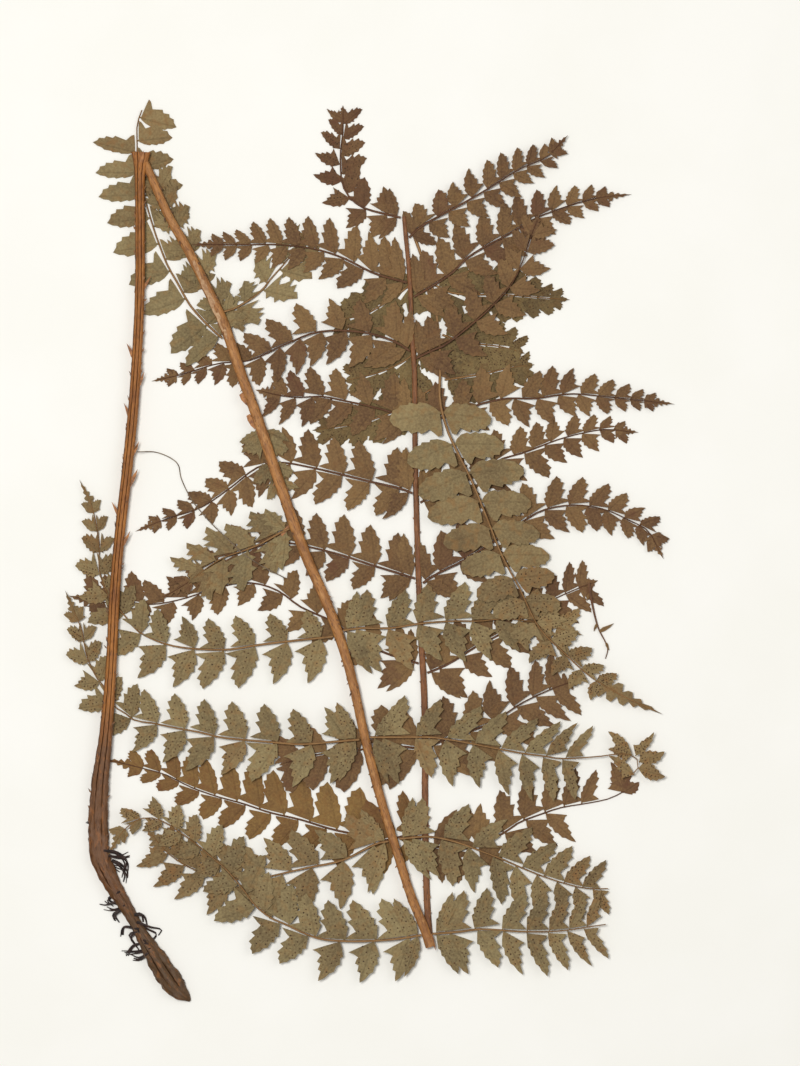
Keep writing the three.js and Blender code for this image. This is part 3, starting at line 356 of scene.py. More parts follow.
# %% Outlines of the kinds
# each kind's near and far edge from foot to tip: how far out along the leaflet, and how far across
OUTLINES = {
    "toothed": (
        [(0, -0.03), (0.045, -0.03), (0.075, -0.07), (0.19, -0.16), (0.36, -0.3), (0.4, -0.22),
         (0.53, -0.32), (0.57, -0.22), (0.72, -0.28), (0.77, -0.16), (0.88, -0.15), (0.92, -0.06), (1, 0)],
        [(0, 0.03), (0.045, 0.04), (0.058, 0.6), (0.075, 0.95), (0.13, 0.8), (0.19, 0.64), (0.235, 0.48),
         (0.36, 0.49), (0.48, 0.57), (0.53, 0.39), (0.72, 0.42), (0.77, 0.26), (0.88, 0.2), (0.92, 0.1),
         (1, 0)],
    ),
    "hooked": (
        [(0, -0.03), (0.045, -0.04), (0.15, -0.16), (0.25, -0.25), (0.38, -0.36), (0.42, -0.3),
         (0.57, -0.4), (0.61, -0.31), (0.76, -0.33), (0.8, -0.22), (0.92, -0.14), (1, 0)],
        [(0, 0.03), (0.045, 0.06), (0.06, 0.14), (0.15, 0.44), (0.25, 0.74), (0.29, 0.56), (0.38, 0.35),
         (0.42, 0.38), (0.53, 0.39), (0.57, 0.25), (0.72, 0.22), (0.76, 0.1), (0.92, 0.05), (1, 0)],
    ),
    "broad": (
        [(0, -0.03), (0.045, -0.03), (0.075, -0.08), (0.2, -0.2), (0.36, -0.28), (0.4, -0.23), (0.55, -0.3),
         (0.59, -0.24), (0.74, -0.27), (0.79, -0.17), (0.9, -0.13), (1, 0)],
        [(0, 0.03), (0.045, 0.05), (0.058, 0.6), (0.075, 0.98), (0.14, 0.9), (0.2, 0.72), (0.25, 0.57),
         (0.36, 0.62), (0.5, 0.68), (0.55, 0.53), (0.7, 0.55), (0.74, 0.4), (0.86, 0.35), (0.9, 0.18),
         (1, 0)],
    ),
    "rounded": (
        [(0, -0.03), (0.05, -0.04), (0.12, -0.18), (0.24, -0.33), (0.38, -0.4), (0.42, -0.34),
         (0.56, -0.43), (0.6, -0.36), (0.74, -0.39), (0.78, -0.32), (0.9, -0.27), (0.93, -0.19), (1, 0)],
        [(0, 0.03), (0.05, 0.05), (0.07, 0.45), (0.1, 0.7), (0.18, 0.73), (0.24, 0.6), (0.31, 0.47),
         (0.38, 0.53), (0.48, 0.59), (0.52, 0.49), (0.66, 0.53), (0.7, 0.42), (0.82, 0.41), (0.86, 0.3),
         (0.95, 0.2), (1, 0)],
    ),
    "lobed": (
        [(0, -0.03), (0.06, -0.04), (0.15, -0.1), (0.27, -0.36), (0.31, -0.2), (0.44, -0.22), (0.55, -0.44),
         (0.59, -0.24), (0.75, -0.3), (0.79, -0.12), (1, 0)],
        [(0, 0.03), (0.06, 0.05), (0.08, 0.5), (0.12, 0.97), (0.2, 0.62), (0.27, 0.42), (0.38, 0.56),
         (0.49, 0.82), (0.55, 0.44), (0.67, 0.64), (0.75, 0.28), (0.84, 0.3), (1, 0)],
    ),
    "small": (
        [(0, -0.04), (0.08, -0.05), (0.26, -0.13), (0.5, -0.27), (0.56, -0.24), (0.7, -0.25), (0.75, -0.17),
         (0.88, -0.1), (1, 0)],
        [(0, 0.05), (0.06, 0.1), (0.08, 0.7), (0.12, 0.96), (0.2, 0.7), (0.26, 0.47), (0.5, 0.52),
         (0.56, 0.37), (0.7, 0.38), (0.75, 0.24), (0.88, 0.14), (1, 0)],
    ),
    "end": (
        [(0, -0.22), (0.04, -0.8), (0.11, -1.0), (0.16, -0.3), (0.22, -0.76), (0.3, -0.84), (0.34, -0.24),
         (0.41, -0.56), (0.48, -0.6), (0.52, -0.18), (0.63, -0.4), (0.68, -0.14), (0.82, -0.2),
         (0.87, -0.07), (1, -0.01)],
        [(0, 0.3), (0.04, 0.95), (0.08, 0.98), (0.13, 0.28), (0.18, 0.82), (0.26, 0.88), (0.3, 0.26),
         (0.37, 0.64), (0.44, 0.68), (0.48, 0.2), (0.58, 0.46), (0.63, 0.16), (0.75, 0.28), (0.8, 0.1),
         (1, 0.01)],
    ),
}
print("kinds", list(OUTLINES))

# %% Model one leaflet of each kind
ROWS = 3                    # faces across a blank
SAME_COLUMN = 0.012         # corners of the two edges share a column where they are closer than this
TOUCH = 0.001               # a point this close to a column belongs to it
MARKS = ("tone", "age", "painted_shade")  # numbers that every point carries for the finishes


def give_marks(piece):
    for mark in MARKS:
        piece.data.attributes.new(mark, "FLOAT", "POINT")


def stations_of(near, far):
    """Both edges at every place where either of them turns."""
    outs = sorted({out for out, _ in near} | {out for out, _ in far})
    kept = [out for out, before in zip(outs, [-1, *outs]) if out - before > SAME_COLUMN]
    return [(out, numpy.interp(out, *zip(*near)), numpy.interp(out, *zip(*far))) for out in kept]


def blade_blank(name, near, far):
    """A grid whose columns are widened and moved until its edges follow the outline."""
    stations = stations_of(near, far)
    nothing_selected()
    columns = len(stations) - 1
    bpy.ops.mesh.primitive_grid_add(x_subdivisions=columns, y_subdivisions=ROWS, size=1, location=(0, 0, 0))
    blank = bpy.context.object
    blank.name = name
    places = [v.co.x for v in blank.data.vertices]
    for i, (out, low, high) in enumerate(stations):
        column_x = i / columns - 0.5
        bpy.ops.object.mode_set(mode="EDIT")
        bpy.ops.mesh.select_all(action="DESELECT")
        bpy.ops.object.mode_set(mode="OBJECT")
        for vertex, x in zip(blank.data.vertices, places):
            vertex.select = abs(x - column_x) < TOUCH
        bpy.ops.object.mode_set(mode="EDIT")
        bpy.ops.transform.resize(value=(1, high - low, 1), center_override=(0, 0, 0))
        bpy.ops.transform.translate(value=(out - column_x, (low + high) / 2, 0))
    bpy.ops.object.mode_set(mode="OBJECT")
    layer = blank.data.uv_layers.active
    for loop in blank.data.loops:
        layer.data[loop.index].uv = blank.data.vertices[loop.vertex_index].co.xy
    give_marks(blank)
    return blank


blanks = {}
for kind, edges in OUTLINES.items():
    blanks[kind] = blade_blank("leaflet_" + kind, *edges)
print("faces of the blanks", {kind: faces_of(blank) for kind, blank in blanks.items()})

# %% [markdown]
# A spore dot is a small low dome. Seen from above it could be painted on, but from the side it stands up,
# so it is modelled once, from a cone with six sides, and copied: in two rows beside the midrib of the
# leaflets that carry spores, with a few dots further out and in the lobe.

# %% Model one spore dot
DOT_WIDTH, DOT_HEIGHT = 0.62, 0.3        # millimetres
# how far out and how far across: two rows beside the midrib, some further out and three in the lobe
DOTS = [
    *[(out, out * MIDRIB_RISE + 0.12) for out in (0.16, 0.27, 0.38, 0.49, 0.6, 0.71)],
    *[(out, out * MIDRIB_RISE - 0.14) for out in (0.22, 0.33, 0.44, 0.55, 0.66, 0.77)],
    (0.42, 0.3), (0.52, 0.27), (0.5, -0.22), (0.36, -0.22), (0.19, 0.48), (0.13, 0.3), (0.25, 0.38),
]

nothing_selected()
bpy.ops.mesh.primitive_cone_add(vertices=6, radius1=0.5, radius2=0.22, depth=1, location=(0, 0, 0.5))
bpy.ops.object.transform_apply(location=True, rotation=True, scale=True)
dot_blank = bpy.context.object
dot_blank.name = "spore_dot"
dot_blank.data.materials.append(SPORES)
give_marks(dot_blank)
print("faces of a dot", faces_of(dot_blank), "dots on a leaflet", len(DOTS))

# %% [markdown]
# ## Where the leaflets sit
# A spray's rib is a smooth curve through its listed points. The leaflets stand at even steps along it, a
# little closer toward the end, leaning toward the tip. The rule and its small differences from leaflet to
# leaflet are the same as in the plain solids, so both agree.

# %% Follow a curve
HEADING_STEP_MM = 0.6       # how far ahead and behind a heading looks


class Course:
    """A smooth line through points, measured along its length from 0 to 1."""

    def __init__(self, points, pieces=24):
        rows = [numpy.array(p, float) for p in points]
        rows = [2 * rows[0] - rows[1], *rows, 2 * rows[-1] - rows[-2]]
        samples = []
        for p0, p1, p2, p3 in zip(rows, rows[1:], rows[2:], rows[3:]):
            pairs = ((p0, p1), (p1, p2), (p2, p3))
            gaps = [max(numpy.linalg.norm(b[:2] - a[:2]) ** 0.5, 1e-3) for a, b in pairs]
            into = (p1 - p0) / gaps[0] - (p2 - p0) / (gaps[0] + gaps[1]) + (p2 - p1) / gaps[1]
            away = (p2 - p1) / gaps[1] - (p3 - p1) / (gaps[1] + gaps[2]) + (p3 - p2) / gaps[2]
            into, away = into * gaps[1], away * gaps[1]
            for i in range(pieces):
                s = i / pieces
                curved = (2 * s**3 - 3 * s**2 + 1) * p1 + (s**3 - 2 * s**2 + s) * into
                samples.append(curved + (3 * s**2 - 2 * s**3) * p2 + (s**3 - s**2) * away)
        samples.append(rows[-2])
        self.samples = numpy.array(samples)
        steps = numpy.linalg.norm(numpy.diff(self.samples[:, :2], axis=0), axis=1)
        self.reach = numpy.concatenate([[0], numpy.cumsum(steps)])
        self.length = float(self.reach[-1])

    def at(self, t):
        return numpy.array([numpy.interp(t * self.length, self.reach, column) for column in self.samples.T])

    def heading(self, t):
        step = HEADING_STEP_MM / self.length
        ahead = self.at(min(1, t + step))[:2] - self.at(max(0, t - step))[:2]
        return ahead / numpy.linalg.norm(ahead)


trial = Course([(0, 0), (10, 0), (20, 5)])
print("a trial curve is", round(trial.length, 2), "mm long")

# %% Repeat the rules of the plain solids
LEAST_FOOT = 1.6            # one more leaflet than in the plain solids stands at least this far out
ROOMY_FOOT = 5.0            # where the first one stands further out than this, it is squeezed in there
SQUEEZED = 0.72             # and its width is this part of the usual
FILLS = 1.1                 # how much of the room between two leaflets one may take
LEAN = 0.42                 # how far the leaflets lean toward the tip, as a part of their length


def vary(seed):
    """A difference between 0 and 1 that is the same on every run."""
    wave = math.sin(seed * 12.9898 + 4.1) * 43758.5453
    return wave - math.floor(wave)


def mix(a, b, share):
    return a + (b - a) * share


def smooth(value, low, high):
    share = min(1, max(0, (value - low) / (high - low)))
    return share * share * (3 - 2 * share)


def along(foot, middle, tip, t):
    return mix(foot, middle, t * 2) if t < 0.5 else mix(middle, tip, (t - 0.5) * 2)


def towards(foot, tip):
    """The direction from foot to tip, and how far that is."""
    length = math.dist(foot, tip)
    return (numpy.array(tip, float) - foot) / length, length


def level_at(levels, t):
    """Height of a spray's underside in millimetres at a place along its rib."""
    before = levels[0]
    for after in levels:
        if t < after[0]:
            return LAYER * mix(before[1], after[1], smooth(t, before[0], after[0]))
        before = after
    return LAYER * before[1]


def leaflets_of(spec, course, side, order):
    """Place, seed, length and width of each leaflet on one side of a spray."""
    count, first, last, foot, middle, tip = spec["right"] if side > 0 else spec["left"]
    start = max(first, BARE_FOOT / course.length)
    for i in range(-spec.get("foot_leaflets", 1), count):
        share = i / (count - 1)
        t = mix(start, last, share * (1 + CROWDING * (1 - share)))
        squeezed = i < 0 and start * course.length > ROOMY_FOOT and t * course.length < LEAST_FOOT
        if squeezed:
            t = LEAST_FOOT / course.length
        if t * course.length < LEAST_FOOT:
            continue
        seed = order * 31 + i * 2 + (1 if side > 0 else 0)
        room = course.length * (last - start) / (count - 1) * (1 + CROWDING * (1 - 2 * share))
        length = along(foot, middle, tip, t) * (LEAST + SPREAD * vary(seed))
        slim = smooth(length, SMALL_LEAFLET, FULL_LEAFLET)
        width = min(length * mix(BROAD, SLENDER, slim), room * FILLS) * spec.get("fills", 1)
        yield t, seed, length, width * (SQUEEZED if squeezed else 1)


print("half way down a step from level 2 to level 1:", round(level_at([(0, 2), (0.5, 1)], 0.25), 3), "mm")

# %% [markdown]
# ## The sprays
# Each line names a spray, the route of its rib, its leaflets on the left and on the right (how
# many, from where to where, and how long near the foot, half way and near the tip) and the layer it lies
# in. They are the rows of the plain solids. What only shows in the finish is added: which leaflets carry
# spore dots, how rusty they are, which kind they belong to and how much of the room between two of them
# they fill.

# %% Sprays with their upper side up
FACE_SPRAYS = [
    dict(name="upper_left_pinna_1", rust=0.5,
         route=[(14.3, 140.5), (6, 142.5), (-2, 145), (-7, 149), (-10, 154), (-11, 161), (-11, 169),
                (-10, 177), (-10, 185)],
         spores=(0.3, 0.8), left=(8, 0.1, 0.93, 11.5, 12, 7.5), right=(7, 0.06, 0.92, 12, 12, 9.5),
         levels=[(0, 1), (0.2, 0)]),
    dict(name="upper_left_pinna_2",
         route=[(17, 113), (3, 117), (-9, 123), (-21, 127), (-37, 129), (-53, 129), (-66, 129),
                (-71.5, 129)],
         left=(10, 0.1, 0.88, 14.5, 12, 5), right=(11, 0.04, 0.88, 17.5, 13.5, 4),
         levels=[(0, 1), (0.8, 1), (0.93, 2)]),
    dict(name="upper_left_pinna_3",
         route=[(18.3, 84), (12, 88), (-2, 92), (-21, 92), (-34, 87), (-50, 80), (-62, 79), (-79, 74),
                (-88, 72)],
         left=(12, 0.06, 0.93, 16, 14.5, 4), right=(11, 0.06, 0.92, 16, 14, 4),
         levels=[(0, 2), (0.52, 2), (0.62, 0)]),
    dict(name="upper_left_pinna_4",
         route=[(19, 55), (8, 59), (-9, 63), (-20, 65), (-27, 64.5), (-35, 65), (-44, 67)],
         left=(7, 0.05, 0.88, 15, 14.5, 11), right=(6, 0.11, 0.84, 16, 14.5, 10), levels=[(0, 1)]),
    dict(name="upper_left_pinna_5",
         route=[(19.4, 24), (14, 26), (1, 29), (-11, 32), (-24, 35), (-37, 37), (-46, 35), (-58, 26),
                (-70, 18), (-85, 13), (-95, 9)],
         left=(12, 0.05, 0.93, 15.5, 15, 4), right=(12, 0.04, 0.93, 17.5, 14.5, 4),
         levels=[(0, 2), (0.2, 2), (0.33, 0)]),
    dict(name="upper_left_pinna_6",
         route=[(20.4, -12), (14, -10), (1, -6), (-11, -2), (-23, 1), (-33, 3), (-44, 2), (-53, -1),
                (-62, -4), (-70, -10), (-79, -16), (-86, -20)],
         left=(11, 0.04, 0.88, 14, 12.5, 4), right=(11, 0.04, 0.88, 18.5, 15, 5), levels=[(0, 1)]),
    dict(name="upper_left_pinna_7",
         route=[(22, -48), (16, -46), (9, -44), (-3, -38), (-15, -30), (-28, -24), (-37, -17.5),
                (-45, -14.5), (-54, -14), (-66, -17), (-79, -21), (-91, -23), (-101, -22), (-113, -22),
                (-123, -20)],
         left=(12, 0.03, 0.92, 16, 12, 8), right=(13, 0.03, 0.93, 14.5, 12.5, 13.5), levels=[(0, 0)]),
    dict(name="upper_left_pinna_8", kind="broad",
         route=[(23, -84), (14, -83), (1, -84), (-11, -85), (-24, -87), (-34, -90)],
         left=(4, 0.15, 0.9, 19, 17.5, 13.5), right=(4, 0.15, 0.9, 17.5, 17, 13.5), levels=[(0, 1)]),
    dict(name="upper_left_pinna_9", finish="golden", kind="broad", rust=0.3, fills=0.88,
         route=[(23, -122), (16, -121), (6, -123), (-1, -121), (-15, -118), (-28, -114), (-41, -111),
                (-53, -107), (-64, -104), (-75, -100), (-85, -95), (-96, -92), (-108, -89)],
         left=(11, 0.1, 0.9, 14.5, 14.5, 5), right=(12, 0.08, 0.9, 19.5, 18.5, 6), levels=[(0, 0)]),
    dict(name="upper_right_pinna_1",
         route=[(17.9, 132), (22, 136), (27, 139), (40, 146), (52, 153), (65, 161), (76, 166), (83, 173)],
         left=(10, 0.08, 0.9, 10, 12, 5), right=(9, 0.14, 0.9, 11, 11.5, 6), levels=[(0, 1), (0.25, 2)]),
    dict(name="upper_right_pinna_2",
         route=[(20, 107), (27, 111), (36, 117), (42, 123), (48, 127), (61, 134), (71, 140), (84, 145),
                (99, 149), (109, 150)],
         left=(11, 0.06, 0.88, 16, 14, 4), right=(11, 0.06, 0.88, 15, 12.5, 4), levels=[(0, 1)]),
    dict(name="upper_right_pinna_3",
         route=[(21, 81), (27, 84), (32, 86), (44, 95), (53, 103), (61, 112), (66, 122), (69, 131),
                (72, 139)],
         left=(8, 0.08, 0.92, 14.5, 12.5, 8.5), right=(8, 0.08, 0.92, 15, 14.5, 9.5),
         levels=[(0, 1), (0.25, 2)]),
    dict(name="upper_right_pinna_4",
         route=[(22, 52), (28, 55), (40, 58), (46, 61), (59, 64), (71, 64), (86, 66), (99, 65), (109, 64),
                (118, 63), (127, 62)],
         left=(12, 0.06, 0.91, 16, 13.5, 4), right=(9, 0.3, 0.91, 14, 12, 4), levels=[(0, 1)]),
    dict(name="upper_right_pinna_5",
         route=[(22.7, 20), (28, 23), (33, 25), (44, 30), (56, 38), (66, 41), (82, 47), (94, 50),
                (101, 51), (112, 50)],
         left=(11, 0.06, 0.92, 14.5, 12, 5), right=(10, 0.06, 0.93, 14.5, 14, 6), levels=[(0, 0)]),
    dict(name="upper_right_pinna_6",
         route=[(23.8, -14), (28, -11), (40, -5), (56, 5), (69, 14), (75, 17), (88, 19), (101, 17),
                (110, 13), (119, 8), (124, -1)],
         left=(12, 0.075, 0.93, 16.5, 15, 6), right=(12, 0.05, 0.93, 14.5, 14, 6), levels=[(0, 1)]),
    dict(name="upper_right_pinna_7",
         route=[(25.7, -52), (33, -49), (40, -45), (46, -41), (52, -38), (61, -33), (69, -27), (75, -23),
                (83, -19), (90, -16), (95, -14)],
         left=(9, 0.06, 0.93, 15, 15, 11), right=(9, 0.06, 0.93, 16, 16, 12), levels=[(0, 0)]),
    dict(name="upper_right_pinna_8",
         route=[(26.5, -83), (33, -80), (42, -77), (48, -75), (53, -73), (59, -69), (65, -65), (73, -61),
                (80, -58), (89, -55)],
         left=(6, 0.08, 0.82, 17, 17.5, 13), right=(6, 0.08, 0.84, 21, 18.5, 14), levels=[(0, 1)]),
    dict(name="upper_right_pinna_9", ends=False,
         route=[(26.8, -125), (33, -126), (44, -126), (52, -123), (59, -119), (65, -115), (73, -112),
                (82, -109), (94, -107), (103, -105), (109, -102)],
         left=(7, 0.1, 0.78, 18, 17.5, 13), right=(5, 0.08, 0.6, 14.5, 17, 17), levels=[(0, 0)],
         sprigs=[((108, -102.6), (103.5, -89.5), 7), ((108.3, -102.6), (110, -90), 8),
                 ((108.3, -102.6), (115.5, -98.5), 8)]),
]
print("sprays with their upper side up", len(FACE_SPRAYS))

# %% Sprays hidden under the others
HIDDEN = dict(levels=[(0, 0)], fills=1.2, spores=(0, 1))  # what they have in common
HIDDEN_SPRAYS = [
    dict(name="tip_left_pinna_1",
         route=[(22, 118), (18, 112), (10, 106), (0, 100), (-13, 97)],
         left=(5, 0.1, 0.86, 14, 13, 8), right=(5, 0.1, 0.86, 14, 13, 8), **HIDDEN),
    dict(name="tip_left_pinna_2",
         route=[(28.5, 93), (24, 87), (16, 80), (5, 75), (-7, 72)],
         left=(5, 0.1, 0.86, 12, 12, 8), right=(5, 0.1, 0.86, 13, 12, 8), **HIDDEN),
    dict(name="tip_left_pinna_3",
         route=[(29.5, 69), (24, 66), (16, 61), (5, 56), (-7, 53), (-20, 51)],
         left=(6, 0.1, 0.88, 12, 12, 7), right=(6, 0.1, 0.88, 11, 11, 7), **HIDDEN),
    dict(name="tip_right_pinna_1",
         route=[(29, 112), (35, 109), (45, 108), (57, 108), (70, 107), (83, 106)],
         left=(7, 0.1, 0.9, 14, 13, 5), right=(7, 0.1, 0.9, 14, 13, 5), **HIDDEN),
    dict(name="tip_right_pinna_2",
         route=[(32, 91), (38, 89), (48, 87), (57, 86), (64, 84)],
         left=(5, 0.1, 0.88, 13, 12, 8), right=(5, 0.1, 0.88, 12, 12, 8), **HIDDEN),
    dict(name="tip_right_pinna_3",
         route=[(33, 72), (40, 73), (52, 75), (60, 77), (68, 78)],
         left=(5, 0.1, 0.88, 11, 11, 7), right=(5, 0.1, 0.88, 13, 12, 7), **HIDDEN),
]
print("hidden sprays", len(HIDDEN_SPRAYS))

# %% Sprays with their underside up
BACK_SPRAYS = [
    dict(name="lower_hidden_pinna",
         route=[(-43, 52), (-43, 46), (-41.5, 38), (-39, 30), (-37, 25)],
         left=(3, 0.15, 0.85, 11, 11, 9), right=(3, 0.15, 0.85, 11, 10, 7), levels=[(0, 1)]),
    dict(name="lower_left_pinna_1", kind="broad", ends=False, fills=0.82,
         route=[(-61, 89.5), (-65, 93), (-70, 98), (-75, 104), (-80, 113), (-84, 120), (-88, 130),
                (-91, 139), (-93, 146), (-95, 154), (-97, 163), (-97, 171), (-97, 180), (-95, 186)],
         lean=(0.1, -0.05), left=(8, 0.08, 0.83, 17.5, 19, 18), right=(8, 0.08, 0.97, 14.5, 15.5, 15),
         levels=[(0, 2), (0.1, 0)]),
    dict(name="lower_left_pinna_2", kind="lobed",
         route=[(-61, 97), (-65, 107), (-72, 122), (-80, 136), (-87, 150), (-91, 158)],
         left=(5, 0.3, 0.9, 8.5, 9, 8), right=(6, 0.12, 0.9, 11, 9, 11), levels=[(0, 1)]),
    dict(name="lower_right_pinna_1", kind="lobed",
         route=[(-60.6, 100.5), (-56, 102), (-49, 106), (-44, 110), (-41, 114), (-34, 122), (-29, 129),
                (-26, 134)],
         left=(4, 0.2, 0.85, 7.5, 11, 9), right=(4, 0.12, 0.8, 11, 15, 11),
         levels=[(0, 2), (0.3, 1), (0.6, 0)]),
    dict(name="lower_left_pinna_3", kind="lobed",
         route=[(-32.5, 9), (-37, 7), (-44, 3), (-51, 0), (-60, -3), (-68, -8), (-73, -12)],
         left=(4, 0.15, 0.85, 15, 18, 11), right=(5, 0.1, 0.88, 12.5, 17, 13), levels=[(0, 2)]),
    dict(name="lower_left_pinna_4",
         route=[(-14, -36.5), (-18, -37), (-28, -38), (-45, -40), (-58, -42), (-68, -42), (-79, -41),
                (-87, -39), (-97, -34), (-102, -28), (-108, -21), (-111, -15), (-113, -8), (-113, 2),
                (-115, 14), (-117, 21), (-120, 27)],
         left=(13, 0.03, 0.92, 18, 17.5, 4), right=(13, 0.03, 0.92, 12.5, 15, 4),
         levels=[(0, 2), (0.5, 2), (0.59, 1)], spores=(0, 1)),
    dict(name="lower_right_pinna_4",
         route=[(-9.8, -34), (-3, -33), (10, -33), (23, -31), (37, -30), (48, -30), (59, -29), (73, -31),
                (88, -35)],
         left=(9, 0.05, 0.92, 16, 17.5, 11), right=(9, 0.05, 0.92, 19.5, 17, 11), levels=[(0, 2)],
         spores=(0, 1)),
    dict(name="lower_left_pinna_5",
         route=[(-3, -80), (-15, -81), (-28, -82), (-41, -81), (-53, -80), (-62, -79), (-70, -77),
                (-81, -75), (-91, -73), (-98, -72), (-102, -69), (-108, -65), (-111, -58), (-114, -54),
                (-117, -48), (-119, -41), (-120, -35), (-123, -27), (-126, -20)],
         left=(13, 0.03, 0.93, 18.5, 17, 5), right=(13, 0.035, 0.93, 16, 16, 5),
         levels=[(0, 3), (0.5, 3), (0.62, 1), (0.76, 1), (0.84, 2)], spores=(0, 1)),
    dict(name="lower_right_pinna_5", fills=0.84, ends=False,
         route=[(1.6, -79), (14, -79), (27, -79), (35, -80), (46, -82), (56, -84), (67, -86), (75, -87),
                (82, -88), (99, -87), (107, -86), (113, -87), (115, -91), (112, -95)],
         left=(8, 0.03, 0.68, 19.5, 18.5, 17.5), right=(8, 0.03, 0.67, 19, 19, 16), levels=[(0, 3)],
         lean=(0.62, 0.3), spores=(0, 0.7),
         sprigs=[((112, -86.5), (102, -76.5), 7), ((113.5, -87), (121.5, -77), 5),
                 ((115, -89.5), (126, -85.5), 8), ((114.5, -92), (126, -96), 8.5),
                 ((112, -86.5), (102, -84), 6), ((113, -95), (102.5, -86.5), 6)]),
    dict(name="lower_left_pinna_6", rust=0.35,
         route=[(9.3, -123), (4, -124), (0, -126), (-10, -131), (-24, -134), (-33, -136), (-42, -138),
                (-53, -139), (-64, -138), (-70, -136), (-75, -134), (-80, -131), (-85, -127), (-91, -120)],
         left=(9, 0.06, 0.9, 20.5, 18.5, 13), right=(10, 0.05, 0.92, 17, 18.5, 10), levels=[(0, 2)],
         spores=(0, 1)),
    dict(name="lower_right_pinna_6", fills=0.88, ends=False,
         route=[(13.8, -122), (25, -121), (33, -122), (40, -124), (48, -127), (56, -130), (65, -134),
                (75, -138), (88, -142), (94, -143), (102, -143)],
         left=(8, 0.05, 0.88, 17.5, 17.5, 14), right=(9, 0.03, 0.93, 20, 19.5, 11), levels=[(0, 2)],
         spores=(0, 1)),
    dict(name="lower_left_pinna_7",
         route=[(23.2, -162.5), (14, -164), (1, -165), (-11, -165), (-20, -164), (-28, -161), (-34, -158),
                (-39, -156), (-46, -151), (-53, -142), (-59, -135), (-66, -129), (-72, -124), (-79, -119),
                (-85, -115), (-91, -113), (-97, -114), (-103, -119), (-108, -127)],
         left=(13, 0.02, 0.93, 18, 17, 4), right=(14, 0.02, 0.93, 18.5, 17.5, 5),
         levels=[(0, 3), (0.85, 3), (0.97, 2)], spores=(0, 1)),
    dict(name="lower_right_pinna_7", fills=0.84, ends=False,
         route=[(27.8, -162), (40, -161), (48, -160), (65, -161), (78, -161), (88, -160), (94, -159),
                (101, -158)],
         left=(7, 0.06, 0.89, 18.5, 19.5, 15), right=(7, 0.1, 0.87, 17.5, 19, 16), levels=[(0, 3)],
         spores=(0, 1)),
]
FROND_TIP = dict(
    name="frond_tip", stout=1.3, slimmer_from=0.7, rust=0.2, fills=0.9, foot_leaflets=0,
    end_length=29, end_half=5.4,
    route=[(18, 139), (20, 133), (23, 125), (26, 116), (29, 106), (30, 95), (31, 85), (31, 74), (31, 63),
           (34, 51), (37, 44), (44, 30), (51, 13), (57, -2), (65, -17), (73, -33), (84, -44), (94, -53),
           (107, -61), (122, -68)],
    left=(13, 0.34, 0.885, 18, 22, 4), right=(13, 0.34, 0.885, 18, 22, 4), lean=(0.36, -0.14),
    levels=[(0, 0), (0.24, 0), (0.32, 3), (0.85, 3), (0.95, 2)], spores=(0.62, 0.95))
print("sprays with their underside up", len(BACK_SPRAYS) + 1)

# %% [markdown]
# ## Building a spray
# The rib is a strip of faces wrapped round into a slender tube, flat below and with a groove along its top.
# Every leaflet is a copy of a blank with its own mesh. Bending each one with a lattice would work too, but
# there are hundreds, so the points of the copy are moved by one rule: outward along the leaflet, arched and
# lifted by its own small amounts. All leaflets of a spray are joined and thickened together by one
# modifier.

# %% Copy a blank and move its points
def own_copy(blank):
    copy = blank.copy()
    copy.data = blank.data.copy()
    bpy.context.collection.objects.link(copy)
    return copy


def points_of(piece):
    """A row of x, y and z for every point. On a blank, x runs out along the leaflet and y across it."""
    flat = numpy.empty(len(piece.data.vertices) * 3)
    piece.data.vertices.foreach_get("co", flat)
    return flat.reshape(-1, 3)


def move_points(piece, places):
    piece.data.vertices.foreach_set("co", numpy.array(places, float).ravel())


def fill(piece, mark, value):
    """Gives every point of a piece the same tone, age or painted shade."""
    piece.data.attributes[mark].data.foreach_set("value", [value] * len(piece.data.vertices))


print("points of a toothed leaflet", len(points_of(blanks["toothed"])))

# %% Wrap a strip into a stem
FILLED_UP = 0.8             # a closed groove is filled this far up


def weld(tube):
    """Joins the two edges of the strip, closes both ends and turns every face outward."""
    bpy.ops.object.mode_set(mode="EDIT")
    bpy.ops.mesh.select_all(action="SELECT")
    bpy.ops.mesh.remove_doubles(threshold=1e-7)
    bpy.ops.mesh.select_all(action="DESELECT")
    bpy.ops.mesh.select_non_manifold()
    bpy.ops.mesh.edge_face_add()
    bpy.ops.mesh.select_all(action="SELECT")
    bpy.ops.mesh.normals_make_consistent(inside=False)
    bpy.ops.object.mode_set(mode="OBJECT")


